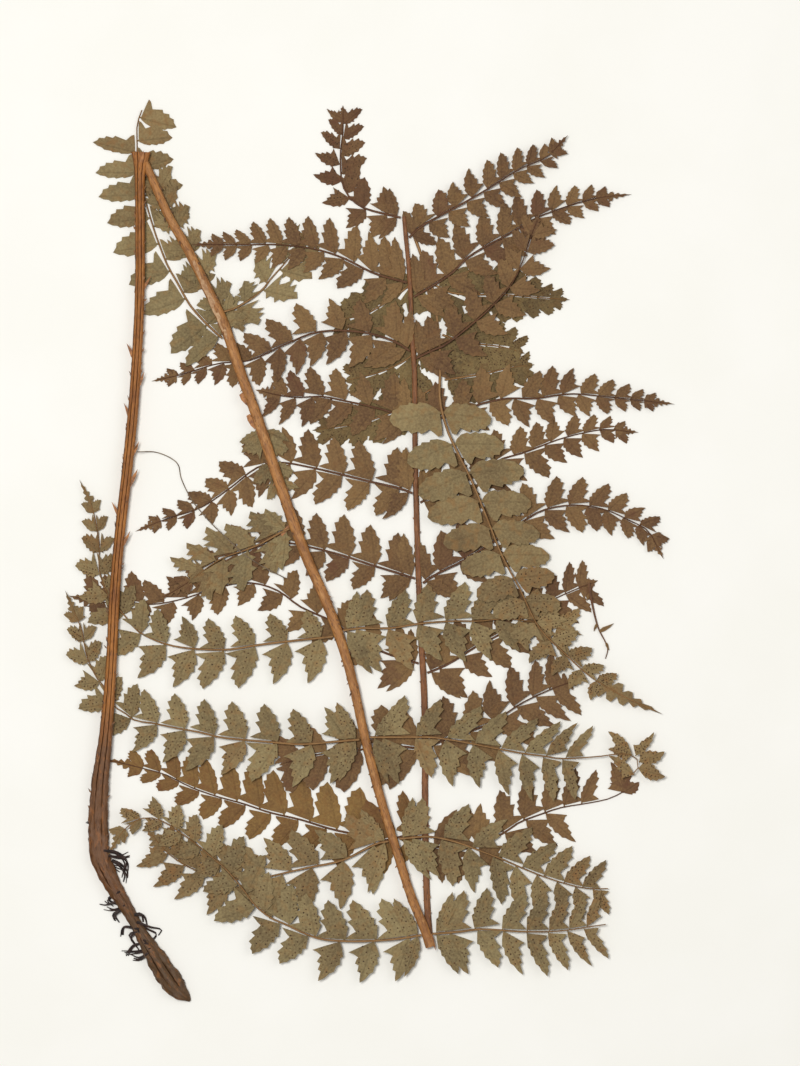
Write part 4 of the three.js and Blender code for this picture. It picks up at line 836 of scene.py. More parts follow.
def stem_tube(name, course, profile, size_at, rings, material, painted_shade=(), rough=None, closed_at=None):
    """A grid wrapped round a course. size_at gives width, height and lowest z at a place, in millimetres.
    The corners named for painted shade lie in a groove or low at a side and are darkened as painted shade;
    rough gives how uneven the skin is, and closed_at how far a groove is closed, which takes its painted
    shade away."""
    nothing_selected()
    sides = len(profile)
    bpy.ops.mesh.primitive_grid_add(x_subdivisions=sides, y_subdivisions=rings, size=1, location=(0, 0, 0))
    tube = bpy.context.object
    tube.name = name
    places = []
    shades = []
    for row in range(rings + 1):
        t = row / rings
        x, y = course.at(t)[:2]
        ahead = course.heading(t)
        width, height, low = size_at(t)
        for k in range(sides + 1):
            u, v = profile[k % sides]
            uneven = 1 + rough(t) * (vary(row * 7.31 + k % sides * 1.73) - 0.5) if rough else 1
            closed = closed_at(t, k) if closed_at else 0
            if k % sides in painted_shade:
                v = mix(v, 1, FILLED_UP * closed)
            aside = u * uneven * width / 2
            places.append(spot(x + ahead[1] * aside, y - ahead[0] * aside, low + v * height * uneven))
            # a corner in a groove or low at a side takes painted shade, less as its groove closes
            shades.append(1.0 - closed if k % sides in painted_shade else 0.0)
    move_points(tube, places)
    layer = tube.data.uv_layers.active
    for loop in tube.data.loops:
        row, k = divmod(loop.vertex_index, sides + 1)
        layer.data[loop.index].uv = (k / sides, row / rings * course.length)
    give_marks(tube)
    tube.data.attributes["painted_shade"].data.foreach_set("value", shades)
    weld(tube)
    tube.data.materials.append(material)
    return tube


# half widths and heights of 1, and which corner lies in the groove and takes the groove colour as painted
# shade
RIB_PROFILE = [(-0.7, 0), (0.7, 0), (1, 0.5), (0.55, 1), (0, 0.8), (-0.55, 1), (-1, 0.5)]
RIB_GROOVE = (4,)
RIB_HEIGHT = 0.9
print("corners round a rib", len(RIB_PROFILE))

# %% Lay one leaflet
ARCH_MM = 0.55              # how high a leaflet arches between foot and tip
TIP_LIFT_MM = 0.5           # how far its tip lifts or sinks
ROLL_MM = 0.5               # how far its far edge lies higher than its near edge
PUCKER_MM = 0.12            # how deep it puckers
PUCKERS = 21                # and how close together, in radians over its length
LOWEST_MM = 0.2             # no leaflet's upper side lies lower
LOWEST_SPREAD_MM = 0.12     # and the lowest height of each one is its own, so no two lie in one plane
STAINED = 0.07              # share of the leaflets that dried dark
SICKLE = 0.05               # how far it bends toward the spray's tip, as a part of its length


class Bed:
    """Where one leaflet lies: it turns how far out and how far across into a place in the frame."""

    def __init__(self, foot, out, ahead, slope, length, width, base, seed):
        self.foot, self.out, self.ahead, self.seed = foot, out, ahead, seed
        self.axis = (out + ahead * slope) / math.hypot(1, slope)
        self.length, self.width, self.base = length, width, base

    def places(self, u, v):
        bend = SICKLE * (vary(self.seed + 0.7) + 0.1) * self.length * u**2
        x = self.foot[0] + self.axis[0] * u * self.length + self.ahead[0] * (v * self.width + bend)
        y = self.foot[1] + self.axis[1] * u * self.length + self.ahead[1] * (v * self.width + bend)
        arch = ARCH_MM * (vary(self.seed + 0.11) - 0.3) * 4 * u * (1 - u)
        lift = TIP_LIFT_MM * (vary(self.seed + 0.23) - 0.4) * u**3
        roll = ROLL_MM * (0.3 + 0.7 * vary(self.seed + 0.37)) * v
        pucker = PUCKER_MM * numpy.sin(u * PUCKERS + self.seed) * numpy.abs(v - MIDRIB_RISE * u) * 2
        lowest = LOWEST_MM + LOWEST_SPREAD_MM * vary(self.seed + 0.53)
        z = numpy.maximum(self.base + LEAF_RISE + arch + lift + roll + pucker, lowest)
        return numpy.column_stack([(x - MIDDLE[0]) * MM, (y - MIDDLE[1]) * MM, z * MM])


def lay_leaflet(blank, bed, age):
    """A copy of the blank, moved point by point into its bed."""
    copy = own_copy(blank)
    u, v, _ = points_of(copy).T
    move_points(copy, bed.places(u, v))
    fill(copy, "tone", 0.1 + 0.8 * vary(bed.seed + 0.61))
    stain = 0.8 if vary(bed.seed + 0.97) < STAINED else 0
    fill(copy, "age", min(1, max(0, age + stain + 0.35 * (vary(bed.seed + 0.83) - 0.5))))
    if bed.out[0] * bed.ahead[1] - bed.out[1] * bed.ahead[0] < 0:
        copy.data.flip_normals()
    return copy


print("a leaflet arches up to", ARCH_MM, "mm")

# %% [markdown]
# Spores have fallen here and there, so every leaflet misses some of its dots, and some miss most. The blade
# at the end of a spray is made of the last leaflets, grown together. It follows the rib's last bend, which
# a leaflet laid straight would not, so its points are moved along the rib and out past it.

# %% Add its spore dots and the blade at the end
MISSING_DOTS = 0.14         # the least share of its dots that a leaflet has lost
LOST_DOTS = 0.7             # and how much more a bare one has lost
DOT_WANDER = 0.04           # how far a dot may stand off its place
END_ABOVE_MM = 0.25         # the end blade lies over the rib's end
END_DROOP = 0.06            # and its edges sink by this part of their distance from the rib


def lay_dots(bed):
    """Copies of the dot over the underside of one leaflet."""
    dots = []
    missing = MISSING_DOTS + LOST_DOTS * vary(bed.seed + 0.77) ** 2
    for k, (u, v) in enumerate(DOTS):
        if vary(bed.seed + k * 0.53) < missing:
            continue
        across = numpy.array([v + DOT_WANDER * (vary(bed.seed + k * 0.31) - 0.5)])
        along_it = numpy.array([u + DOT_WANDER * (vary(bed.seed + k * 0.47) - 0.5)])
        dot = own_copy(dot_blank)
        size = DOT_WIDTH * (0.75 + 0.55 * vary(bed.seed + k * 0.29)) * MM
        place = Matrix.Translation(bed.places(along_it, across)[0])
        dot.data.transform(place @ Matrix.Diagonal((size, size, DOT_HEIGHT * MM, 1)))
        dots.append(dot)
    return dots


def lay_end_blade(course, levels, start, length, half_width, seed, age):
    """The end blade, bent along the last stretch of the rib and out past it."""
    copy = own_copy(blanks["end"])
    places = []
    for u, v, _ in points_of(copy):
        t = start + u * length / course.length
        ahead = course.heading(min(t, 1))
        x, y = course.at(min(t, 1))[:2] + ahead * max(0, t - 1) * course.length
        aside = v * half_width
        z = level_at(levels, min(t, 1)) + LEAF_RISE + END_ABOVE_MM - END_DROOP * abs(aside)
        places.append(spot(x + ahead[1] * aside, y - ahead[0] * aside, max(LOWEST_MM + LOWEST_SPREAD_MM, z)))
    move_points(copy, places)
    copy.data.flip_normals()
    fill(copy, "tone", vary(seed + 0.61))
    fill(copy, "age", age)
    return copy


print("at least one dot in", round(1 / MISSING_DOTS), "has fallen off")

# %% [markdown]
# Now a whole spray comes together. Its parts could stay separate pieces, but then there would be hundreds
# of them to look after, and on the real frond they are grown together, so they are joined to one piece that
# stands for the plain solid.

# %% Lay the leaflets along a rib
RUST = 0.1                  # how rusty a leaflet is near the foot of its spray
END_RUST = 0.75             # how much more at the spray's tip
SPRIG_RUST = 0.9
END_LEAN = 0.6              # how much further the last small leaflets lean toward the tip
SMALL_KIND = 8.5            # shorter leaflets are copied from the small blank
HOOKED_BELOW, HOOKED_ABOVE = 0.7, 0.15   # share of hooked leaflets below a rib and above it
LEAST_SPORY = 8             # leaflets up to this length carry no spores


def lay_sides(spec, course, order, usual_kind):
    """The leaflets on both sides of a rib, and their spore dots."""
    blades = []
    dots = []
    left_lean, right_lean = spec.get("lean", (LEAN, LEAN))
    first_spores, last_spores = spec.get("spores", (2, 2))
    for side in (1, -1):
        for t, seed, length, width in leaflets_of(spec, course, side, order):
            ahead = course.heading(t)
            out = numpy.array([ahead[1], -ahead[0]]) * side
            slope = (right_lean if side > 0 else left_lean) * (0.8 + 0.4 * vary(seed + 0.25))
            slope += 0.1 * t + END_LEAN * t**2 * (1 - smooth(length, 6, 13))
            base = level_at(spec["levels"], t)
            bed = Bed(course.at(t)[:2], out, ahead, slope, length, width, base, seed)
            kind = "small" if length < SMALL_KIND else spec.get("kind", usual_kind)
            if t > spec.get("slimmer_from", 1):
                kind = "toothed"
            if kind == "toothed" and vary(seed + 0.91) < (HOOKED_BELOW if out[1] < 0 else HOOKED_ABOVE):
                kind = "hooked"
            blades.append(lay_leaflet(blanks[kind], bed, spec.get("rust", RUST) + END_RUST * t**3))
            if first_spores <= t <= last_spores and length > LEAST_SPORY:
                dots += lay_dots(bed)
    return blades, dots


def lay_sprigs(spec):
    """Toothed lobes at the end of a broken spray, each from its own foot to its own tip."""
    blades = []
    dots = []
    for foot, tip, width in spec.get("sprigs", ()):
        out, length = towards(foot, tip)
        ahead = numpy.array([-out[1], out[0]])
        base = level_at(spec["levels"], 1)
        bed = Bed(numpy.array(foot, float), out, ahead, 0, length, width, base, foot[0])
        blades.append(lay_leaflet(blanks["hooked"], bed, SPRIG_RUST))
        if "spores" in spec:
            dots += lay_dots(bed)
    return blades, dots


print("leaflets shorter than", SMALL_KIND, "mm are copied from the small blank")

# %% Build a whole spray
END_BLADE_RUST = 0.5        # how much rustier than its spray an end blade is
END_REACH = 3.0             # how far it stands out past the rib
END_HALF, END_MORE = 0.52, 1  # its half width: a part of the shorter last leaflets, and millimetres more
RIB_RING_MM = 4             # from one ring of the rib to the next
RIB_LIFT = 0.05             # how far it lies above the level of its spray
LOW_RIB = 0.8               # its height past the last leaflets, as a part of that before
SMOOTH_LEAF, SMOOTH_STEM = math.radians(35), math.radians(50)  # less sharp bends are shaded smooth
# leaf, rib and the record's slot
FINISHES = {
    "face": (FACE, FACE_RIB, "leaf_face"),
    "golden": (FACE_GOLD, FACE_RIB, "leaf_red_brown"),
    "back": (BACK, BACK_RIB, "leaf_back"),
    "olive": (OLIVE, BACK_RIB, "leaf_olive"),
}


def thicken(sheet, thickness_mm, offset):
    """Gives a sheet its thickness: offset -1 lets it grow to one side only, 0 to both."""
    thickness = sheet.modifiers.new("thickness", "SOLIDIFY")
    thickness.thickness = thickness_mm * MM
    thickness.offset = offset
    bpy.ops.object.modifier_apply(modifier=thickness.name)


def spray(spec, order, finish, usual_kind):
    """Leaflets, end blade, rib and spore dots, joined to one piece in place of its plain solid."""
    leaf, rib_finish, slot_name = FINISHES[spec.get("finish", finish)]
    course = Course(spec["route"])
    levels = spec["levels"]
    last = max(spec["left"][2], spec["right"][2])

    def rib_size(t):
        half = mix(RIB_HALF_ROOT, RIB_HALF_END, smooth(t, 0, 0.95)) * spec.get("stout", 1)
        return 2 * half, RIB_HEIGHT * (1 if t < last else LOW_RIB), level_at(levels, t) + RIB_LIFT

    blades, dots = lay_sides(spec, course, order, usual_kind)
    more_blades, more_dots = lay_sprigs(spec)
    blades += more_blades
    dots += more_dots
    if spec.get("ends", True):
        end_length = spec.get("end_length", (1 - last) * course.length + END_REACH)
        start = 1 - (end_length - END_REACH) / course.length
        half = spec.get("end_half", END_HALF * min(spec["left"][5], spec["right"][5]) + END_MORE)
        age = spec.get("rust", RUST) + END_BLADE_RUST
        blades.append(lay_end_blade(course, levels, start, end_length, half, order, age))
    select_only(*blades)
    bpy.ops.object.join()
    sheet = bpy.context.object
    thicken(sheet, LEAF_THICKNESS, -1)
    sheet.data.materials.append(leaf)
    rings = max(8, round(course.length / RIB_RING_MM))
    rib = stem_tube("rib", course, RIB_PROFILE, rib_size, rings, rib_finish, RIB_GROOVE)
    select_only(sheet, rib, *dots)
    bpy.ops.object.join()
    piece = bpy.context.object
    piece.name = spec["name"] + "_fine"
    bpy.ops.object.shade_smooth_by_angle(angle=SMOOTH_LEAF)
    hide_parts(spec["name"])
    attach(piece, "root")
    return piece


print("finishes and their slots", {name: parts[2] for name, parts in FINISHES.items()})

# %% Build all sprays
# the rows, the seed of the first, their finish and their usual kind of leaflet
GROUPS = [
    (FACE_SPRAYS, 1, "face", "toothed"),
    (BACK_SPRAYS, 40, "back", "toothed"),
    (HIDDEN_SPRAYS, 60, "olive", "broad"),
    ([FROND_TIP], 70, "back", "rounded"),
]
sprays = []
for rows, first_order, finish, kind in GROUPS:
    for i, spec in enumerate(rows):
        sprays.append(spray(spec, first_order + i, finish, kind))
print("sprays", len(sprays), "faces", sum(faces_of(piece) for piece in sprays))

# %% [markdown]
# ## The stalk and the midstems
# The stalk is the stout lower part of the axis, with three grooves along it, widest at the dug-up foot,
# where the bark has closed the grooves to short slits. The lower midstem is round, the upper one thin. A
# curve with a round bevel would make a stem quickly, but without grooves and flat underside, so each is a
# wrapped strip that follows the stations of its plain solid.

# %% Stations of the stems
# x, y, width, height and lowest z
STALK = [
    (-74.6, -190.6, 1, 1.6, 0), (-76.6, -188.6, 4.6, 3, 0), (-79.5, -186, 7.6, 3.8, 0),
    (-84, -180, 9.4, 4.2, 0), (-88.5, -173, 8.4, 4.2, 0), (-93, -166, 6.4, 4, 0), (-97.5, -158, 5, 3.6, 0),
    (-102, -150, 5.4, 3.8, 0), (-108, -140, 7.2, 4, 0), (-112.5, -130, 8.2, 4, 0),
    (-113.3, -118, 8.4, 4, 0.2), (-112.5, -99, 7.4, 3.7, 1.6), (-110, -78, 5.7, 3.2, 2.8),
    (-107.8, -50, 4.7, 3, 2.9), (-106.5, -22, 4.6, 3, 2.6), (-104.4, 4, 4.5, 3, 2.6),
    (-101, 34, 4.5, 3, 2.6), (-98, 65, 4.4, 3, 2.6), (-95.8, 105, 4.2, 3, 2.5), (-95.6, 135, 4.2, 3, 2.4),
    (-95.7, 156, 4.4, 3, 2.4), (-95.4, 163, 5.8, 2.6, 2.4), (-95.2, 168, 8.4, 2, 2.4),
]
LOWER_STEM = [
    (-93.6, 164.5, 2.6, 1.8, 2.5), (-91.4, 159, 3.4, 2.6, 2.5), (-88.5, 152, 3.6, 3, 2.5),
    (-83.5, 141, 3.8, 3, 2.5), (-75, 126, 4, 3, 2.5), (-67, 110, 4.2, 3, 2.5), (-60, 95, 4.4, 3, 2.5),
    (-53.5, 76, 4.4, 3, 2.5), (-46.5, 57, 4.5, 3, 2.5), (-38, 32, 4.6, 3, 2.5), (-26.5, 0, 4.5, 3, 2.5),
    (-16.5, -23, 4.4, 3, 2.5), (-11, -38, 4.2, 3, 2.5), (-6, -55, 4, 3, 2.5), (-0.5, -80, 3.9, 3, 2.5),
    (6, -105, 3.8, 3, 2.5), (13, -128, 3.8, 2.8, 2.5), (19.5, -148, 3.9, 2.6, 2.5),
    (24.5, -160, 4, 2.4, 2.5), (27, -167.5, 4.1, 2.4, 2.5),
]
UPPER_STEM = [
    (26.5, -163, 2.9, 1.9, 0), (25.6, -150, 2.8, 1.8, 0), (25, -128, 2.8, 1.8, 0),
    (24.7, -106, 2.7, 1.8, 0), (24.7, -84, 2.7, 1.8, 0), (24.3, -60, 2.7, 1.8, 0), (23, -36, 2.6, 1.8, 0),
    (22, -12, 2.5, 1.8, 0), (21.2, 12, 2.4, 1.8, 0), (20.5, 40, 2.3, 1.6, 0), (20.4, 52, 2.2, 1.5, 1),
    (20.4, 60, 2.2, 1.5, 1.3), (20.2, 76, 2.1, 1.5, 1.3), (19, 93, 2, 1.5, 1.3), (18.6, 108, 1.9, 1.4, 1.3),
    (17.4, 124, 1.8, 1.4, 1.3), (16.4, 134, 1.8, 1.3, 1.3), (15.8, 141, 1.7, 1.2, 1.3),
]
# round a stem: how far aside, in half widths, and how high, in heights of the stem
GROOVED_STEM = [
    (-0.55, 0), (0, 0), (0.55, 0), (0.9, 0.2), (1, 0.45), (0.93, 0.7), (0.78, 0.9), (0.58, 0.98),
    (0.42, 0.97), (0.34, 0.8), (0.26, 0.96), (0.08, 0.9), (-0.1, 0.9), (-0.28, 0.97), (-0.36, 0.8),
    (-0.44, 0.98), (-0.66, 0.93), (-0.8, 0.8), (-0.94, 0.68), (-1, 0.45), (-0.9, 0.2),
]
ROUND_STEM = [
    (-0.5, 0), (0, 0), (0.5, 0), (0.88, 0.2), (1, 0.45), (0.92, 0.68), (0.72, 0.86), (0.4, 0.97), (0, 1),
    (-0.4, 0.97), (-0.72, 0.86), (-0.92, 0.68), (-1, 0.45), (-0.88, 0.2),
]
# which of these corners lie in a groove or low at the side, and are darkened as painted shade
STALK_SHADED_CORNERS, UPPER_SHADED_CORNERS = (9, 14, 18), (3,)
print("stations", len(STALK), len(LOWER_STEM), len(UPPER_STEM))

# %% Wrap the stems
STALK_RING_MM, MIDSTEM_RING_MM = 1.6, 2.5  # from one ring of a stem to the next
BARKY, NEARLY_SMOOTH = 0.22, 0.05  # how uneven the stalk is at its foot and further up
MIDSTEM_UNEVEN = 0.09
SLITS = 55                  # pieces of about 7 mm along the stalk, each with its grooves open or closed
SLIT_SHARE = 0.3            # share of them in which a groove is open near the foot


def stem(name, stations, profile, ring_mm, material, painted_shade=(), rough=None, closed_at=None):
    """One stem in place of its plain solid. Returns its course as well."""
    course = Course(stations)

    def size_at(t):
        return course.at(t)[2:]

    rings = round(course.length / ring_mm)
    piece = stem_tube(name + "_fine", course, profile, size_at, rings, material, painted_shade, rough, closed_at)
    select_only(piece)
    bpy.ops.object.shade_smooth_by_angle(angle=SMOOTH_STEM)
    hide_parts(name)
    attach(piece, "root")
    return piece, course


def stalk_roughness(t):
    """Barky at the dug-up foot, nearly smooth from a third of the way up."""
    return mix(BARKY, NEARLY_SMOOTH, smooth(t, 0.15, 0.38))


def grooves_closed(t, k):
    """Near the dug-up foot the grooves are left only here and there."""
    open_here = vary(math.floor(t * SLITS) + k * 1.9) < SLIT_SHARE
    return (1 - smooth(t, 0.2, 0.3)) * (0.1 if open_here else 1.0)


def midstem_roughness(t):
    return MIDSTEM_UNEVEN


stalk, stalk_course = stem(
    "stalk", STALK, GROOVED_STEM, STALK_RING_MM, STALK_SKIN,
    painted_shade=STALK_SHADED_CORNERS, rough=stalk_roughness, closed_at=grooves_closed)
lower_midstem, lower_course = stem(
    "lower_midstem", LOWER_STEM, ROUND_STEM, MIDSTEM_RING_MM, LOWER_SKIN,
    rough=midstem_roughness)
upper_midstem, upper_course = stem(
    "upper_midstem", UPPER_STEM, ROUND_STEM, MIDSTEM_RING_MM, UPPER_SKIN,
    painted_shade=UPPER_SHADED_CORNERS, rough=midstem_roughness)
print("stem faces", faces_of(stalk), faces_of(lower_midstem), faces_of(upper_midstem))

# %% [markdown]
# ## Rags, scales and rootlets
# The stalk of a shield fern is clad in dry scales. Most have been rubbed down to short rags that fringe its
# edges and the midstems, a few stand out as whole papery scales, and pale membrane clings to the lower
# midstem. Round the foot hang black rootlets. Hair particles could make the rags, but they are thin and
# round, and a rag is flat. A rag and a scale are one small pointed sheet in different sizes, so it is
# modelled once and laid many times.

# %% Model the pointed sheet
RAG = (
    [(0, -0.3), (0.3, -0.5), (0.65, -0.4), (1, -0.02)],
    [(0, 0.3), (0.3, 0.5), (0.65, 0.25), (1, 0.02)],
)
RAG_THICKNESS = 0.14        # millimetres, for rags, scales and membrane
RAG_RISE = -0.2             # how far a rag's tip lies above its foot, in millimetres: it sinks a little

blanks["rag"] = blade_blank("rag", *RAG)
print("faces of a rag", faces_of(blanks["rag"]))

# %% Lay rags
def lay_rag(foot, z, heading, rise, length, width, curl=0.0):
    """A copy of the pointed sheet with its foot at foot, rising along heading and bending aside by curl."""
    copy = own_copy(blanks["rag"])
    aside = (-heading[1], heading[0])
    places = []
    for u, v, _ in points_of(copy):
        x = foot[0] + heading[0] * u * length + aside[0] * (v * width + curl * u**2)
        y = foot[1] + heading[1] * u * length + aside[1] * (v * width + curl * u**2)
        places.append(spot(x, y, max(LOWEST_MM, z + rise * u)))
    move_points(copy, places)
    return copy


def finish_rags(name, rags, material):
    """Joins rags or scales to one piece with a thickness."""
    select_only(*rags)
    bpy.ops.object.join()
    piece = bpy.context.object
    piece.name = name
    thicken(piece, RAG_THICKNESS, 0)
    piece.data.materials.append(material)
    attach(piece, "root")
    return piece


def fringe(name, course, count, first, last, longest, seed):
    """Short rags at both edges of a stem, pointing up along it and out."""
    rags = []
    for i in range(count):
        own = seed + i * 1.37
        t = mix(first, last, (i + vary(own)) / count)
        ahead = course.heading(t)
        side = 1 if vary(own + 0.3) > 0.5 else -1
        x, y, stem_width, stem_height, low = course.at(t)
        out = numpy.array([ahead[1], -ahead[0]]) * side
        spread = 0.15 + 0.9 * vary(own + 0.6) ** 2
        heading = (ahead + out * spread) / math.hypot(1, spread)
        foot = numpy.array([x, y]) + out * stem_width * (0.2 + 0.28 * vary(own + 0.8))
        z = low + stem_height * mix(0.55, 0.98, vary(own + 0.15))
        length = longest * (0.35 + 0.65 * vary(own + 0.45))
        width = 0.3 + 0.5 * vary(own + 0.9)
        curl = 0.5 * (vary(own + 0.7) - 0.5)
        rags.append(lay_rag(foot, z, heading, RAG_RISE, length, width, curl))
    return finish_rags(name, rags, SCALE_RAGS)


# how many, from where to where along the stem, and the longest in millimetres
stalk_rags = fringe("stalk_rags", stalk_course, 210, 0.2, 0.98, 2.6, 3.0)
lower_rags = fringe("lower_midstem_rags", lower_course, 240, 0.02, 0.97, 2.0, 5.0)
upper_rags = fringe("upper_midstem_rags", upper_course, 90, 0.02, 0.97, 1.5, 7.0)
print("rags", faces_of(stalk_rags), faces_of(lower_rags), faces_of(upper_rags))

# %% Whole scales and membrane
# foot, tip, width and the height of the foot
SCALES = [
    ((-97.5, 80), (-101.5, 87), 1.8, 4.4), ((-97, 68), (-93.5, 75), 1.7, 4.4),
    ((-99, 54), (-102.5, 62), 1.7, 4.4), ((-100, 38), (-96, 46), 1.8, 4.4),
    ((-101, 26), (-96.5, 34), 2.2, 4.4), ((-103.5, 13), (-108, 20), 1.6, 4.2),
    ((-103.6, 1), (-99.6, 8), 1.7, 4.4), ((-95.5, 108), (-91.5, 116), 1.6, 4.4),
    ((-95, 162), (-97.2, 168.6), 1.6, 4.2), ((-95, 161), (-91.6, 168.4), 1.8, 4.2),
    ((-95.2, 162), (-94.4, 168.8), 1.4, 4.6), ((-53, 66), (-48.5, 60), 3, 4.6),
    ((-50, 57), (-46.5, 51), 2.6, 4.6), ((-36, 6), (-32, 12), 1.6, 3), ((27, -162), (29.5, -169), 1.4, 4.2),
]
MEMBRANES = [
    ((-73, 122), (-68.6, 112), 1.6, 5.55), ((-69.6, 114), (-65, 104), 2.2, 5.6),
    ((-66.6, 108), (-61.6, 96), 2.6, 5.6), ((-63, 100), (-59.2, 90), 2.0, 5.6),
    ((-60, 93), (-57, 86), 1.6, 5.55),
]


def whole_scales(name, rows, material):
    scales = []
    for i, (foot, tip, width, z) in enumerate(rows):
        heading, length = towards(foot, tip)
        rise = 0.3 - 1.2 * vary(i)
        curl = 1.2 * (vary(i + 0.5) - 0.5)
        scales.append(lay_rag(foot, z, heading, rise, length, width, curl))
    return finish_rags(name, scales, material)


scales = whole_scales("papery_scales", SCALES, PAPERY)
membranes = whole_scales("pale_membrane", MEMBRANES, MEMBRANE)
print("scales and membranes", faces_of(scales), faces_of(membranes))

# %% [markdown]
# Rootlets, the bare twig and the loose fibre are thin and round. Curves with a bevel would do, but they
# would have to become meshes before they are joined, so they are wrapped strips like the stems, with five
# corners round. The rootlets curl down from the foot to the surface that the frond lies on, three on each
# route, a little parted.

# %% Rootlets
STRAND = [(-0.6, 0), (0.6, 0), (1, 0.6), (0, 1), (-1, 0.6)]
ROOTLETS = [
    [(-111, -127), (-106, -128), (-102, -132), (-103, -138)], [(-110, -132), (-106, -134), (-103, -135)],
    [(-109, -129), (-104.5, -130), (-101, -129)],
    [(-107.5, -131), (-104.5, -133), (-102, -137), (-102.5, -140)],
    [(-104, -144), (-109, -148), (-106, -150)], [(-106, -148.5), (-110, -149.5), (-112, -148.5)],
    [(-102, -150), (-107, -152), (-110, -151)], [(-104, -152), (-107, -154), (-106, -156.5)],
    [(-96, -160), (-103, -159.5), (-104, -163)], [(-96, -161), (-100, -163), (-97, -168)],
    [(-92, -166), (-98, -167), (-101, -171)], [(-91, -168), (-97, -170), (-103, -170.5)],
    [(-92, -170), (-96, -173), (-99, -172.5)], [(-93, -165), (-96, -164), (-98, -161)],
    [(-98, -154), (-95, -154), (-94, -158)], [(-97, -157), (-92, -160), (-88, -162), (-90, -165)],
    [(-82, -179), (-79, -180.5), (-78, -181)], [(-113, -117), (-118.4, -115)],
    [(-83, -176), (-80, -178), (-79.5, -180)],
]
ROOT_TOP, ROOT_WIDTH = 2.2, 1.35  # height of the lowest one's root, and the width there
ROOT_END = 0.15             # height at which they end
TUFT, TUFT_SPREAD = 3, 1.5  # strands on each route, and how far they part in millimetres
TUFT_RISE = 0.4             # each strand springs that much higher than the one before
FINE_END = 0.35             # a strand's width at its end, as a part of that at its start
STRAND_RING_MM = 1.2


def strand(name, route, top, end_z, width, material):
    """A thin round strand along a route, sinking from top to end_z."""
    course = Course(route)

    def size_at(t):
        here = width * mix(1, FINE_END, t)
        return here, here, mix(top, end_z, smooth(t, 0, 0.8))

    return stem_tube(name, course, STRAND, size_at, max(5, round(course.length / STRAND_RING_MM)), material)


strands = []
for i, route in enumerate(ROOTLETS):
    for k in range(TUFT):
        aside = TUFT_SPREAD * (vary(i + k * 3.1) - 0.5)
        up = TUFT_SPREAD * (vary(i * 1.7 + k) - 0.5)
        parted = [(x + aside * step, y + up * step) for step, (x, y) in enumerate(route)]
        width = ROOT_WIDTH * (0.55 + 0.5 * vary(i + k * 0.37))
        strands.append(strand("rootlet", parted, ROOT_TOP + TUFT_RISE * k, ROOT_END, width, ROOTLET))
select_only(*strands)
bpy.ops.object.join()
rootlets = bpy.context.object
rootlets.name = "rootlets"
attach(rootlets, "root")
print("rootlets", len(ROOTLETS) * TUFT, "faces", faces_of(rootlets))

# %% Twig and fibre
TWIG = [(94, -14), (95, -21), (98, -33), (101, -39), (102, -42), (101, -46)]
TWIG_TOP, TWIG_END, TWIG_WIDTH = 0.9, 0.3, 1.1
TWIG_LEAVES = [
    ((98.5, -34.5), (104.5, -31), 1.8), ((94.6, -18), (93, -21.5), 1.4), ((97.5, -31), (96, -34.5), 1.2),
    ((101.2, -39.2), (102.6, -42.5), 1.2),
]
FIBRE_WIDTH = 0.42
FIBRE_RINGS = 90
# x, y and lowest z
FIBRE_ROUTE = [
    (-97, 41.4, 4.6), (-89.4, 41.4, 0.6), (-82.2, 38.5, 0.2), (-79.6, 35.9, 0.2), (-78.4, 30.4, 0.2),
    (-74.1, 21.5, 0.4), (-70.3, 16.5, 1.2), (-64, 9.7, 3.6), (-57.7, 3.8, 4), (-53.4, -0.4, 4),
    (-51.3, -2.1, 4), (-44, -6.8, 4), (-34.4, -11.8, 4),
]

twig = strand("bare_twig", TWIG, TWIG_TOP, TWIG_END, TWIG_WIDTH, FACE_RIB)
twig_leaves = []
for foot, tip, width in TWIG_LEAVES:
    heading, length = towards(foot, tip)
    twig_leaves.append(lay_rag(foot, TWIG_TOP, heading, 0.2, length, width))
finish_rags("twig_leaves", twig_leaves, FACE)
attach(twig, "root")

fibre_course = Course(FIBRE_ROUTE)


def fibre_size(t):
    return FIBRE_WIDTH, FIBRE_WIDTH, fibre_course.at(t)[2]


fibre = stem_tube("loose_fibre", fibre_course, STRAND, fibre_size, FIBRE_RINGS, FIBRE)
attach(fibre, "root")
print("twig", round(Course(TWIG).length), "mm, fibre", round(fibre_course.length), "mm")

# %% [markdown]
# ## Floor, light and camera
# The frond lies on a pale surface and was seen from straight above in soft, even daylight. A bright sky
# alone would leave no shadows, so a lamp stands almost overhead, a little to the left, and a wide weak one
# at the right softens what it darkens. A long lens far above keeps the view as flat as the real one was.

# %% Floor
FLOOR_SIZE = 6              # metres
FLOOR_Z = -0.0002           # metres, just under the upper midstem, which lies lowest

nothing_selected()
bpy.ops.mesh.primitive_plane_add(size=FLOOR_SIZE, location=(0, 0, FLOOR_Z))
floor = bpy.context.object
floor.name = "floor"
floor.data.materials.append(mottled_material("Pale floor", "#f3f1ea", "#f1efe7", 60, 0.9))
floor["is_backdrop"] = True
print("floor at", round(FLOOR_Z / MM, 2), "mm")

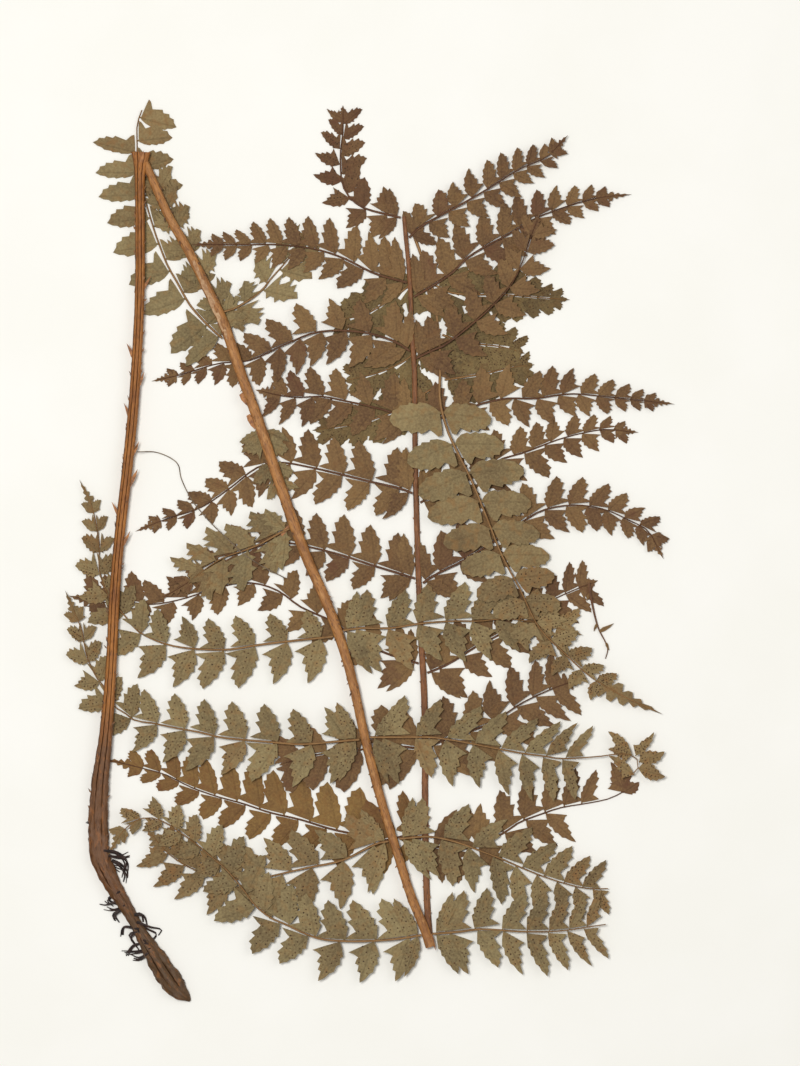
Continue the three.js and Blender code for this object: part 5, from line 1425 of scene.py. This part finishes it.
# %% Light
SKY_STRENGTH = 0.33
SKY_LAMP = ("sky_above", (-0.32, 0.2, 1.8), 0.42, 24)    # place and size in metres, and watts
SIDE_LAMP = ("window_right", (1.2, 0.4, 1.6), 1.2, 5)

world = bpy.data.worlds.new("soft room")
bpy.context.scene.world = world
world.use_nodes = True
feed(world.node_tree, world.node_tree.nodes["Background"], {0: (1.0, 1.0, 1.0, 1), 1: SKY_STRENGTH})


def soft_lamp(name, place, size, watts):
    """A square lamp that points at the middle of the frond."""
    nothing_selected()
    bpy.ops.object.light_add(type="AREA", location=place)
    lamp = bpy.context.object
    lamp.name = name
    lamp.data.size = size
    lamp.data.energy = watts
    lamp.rotation_mode = "QUATERNION"
    lamp.rotation_quaternion = (-Vector(place)).to_track_quat("-Z", "Y")
    lamp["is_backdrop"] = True
    return lamp


lamps = [soft_lamp(*SKY_LAMP), soft_lamp(*SIDE_LAMP)]
bpy.context.scene.view_settings.view_transform = "Standard"
print("lamps", [lamp.name for lamp in lamps])

# %% Camera
PHOTO_HEIGHT_MM = 450.4     # what the photograph's height covers on the floor
LENS, SENSOR = 150, 36      # millimetres of the lens and of the picture's long side
PHOTO_CENTRE = (14.15, 7.18)  # where the middle of the photograph lies, counted as the routes are
ABOVE_FLOOR_MM = 2          # the leaflets that the view is measured at lie that much above the floor
FARTHEST = 20               # metres that the camera sees

camera_z = PHOTO_HEIGHT_MM * LENS / SENSOR + ABOVE_FLOOR_MM
bpy.ops.object.camera_add(location=spot(*PHOTO_CENTRE, camera_z), rotation=(0, 0, 0))
camera = bpy.context.object
camera.data.lens = LENS
camera.data.sensor_width = SENSOR
camera.data.clip_end = FARTHEST
bpy.context.scene.camera = camera
camera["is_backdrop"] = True
print("camera height", round(camera.location.z, 3), "m")

# %% [markdown]
# ## Finish
# The blanks were only patterns, so they go. The triangles of all shown pieces are counted, and the
# finished frond keeps the plain one's size.

# %% Clear the blanks, measure and finish
for blank in (*blanks.values(), dot_blank):
    bpy.data.objects.remove(blank)

triangles = 0
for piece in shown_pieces():
    if piece.type == "MESH":
        piece.data.calc_loop_triangles()
        triangles += len(piece.data.loop_triangles)
print("triangles in all", triangles)
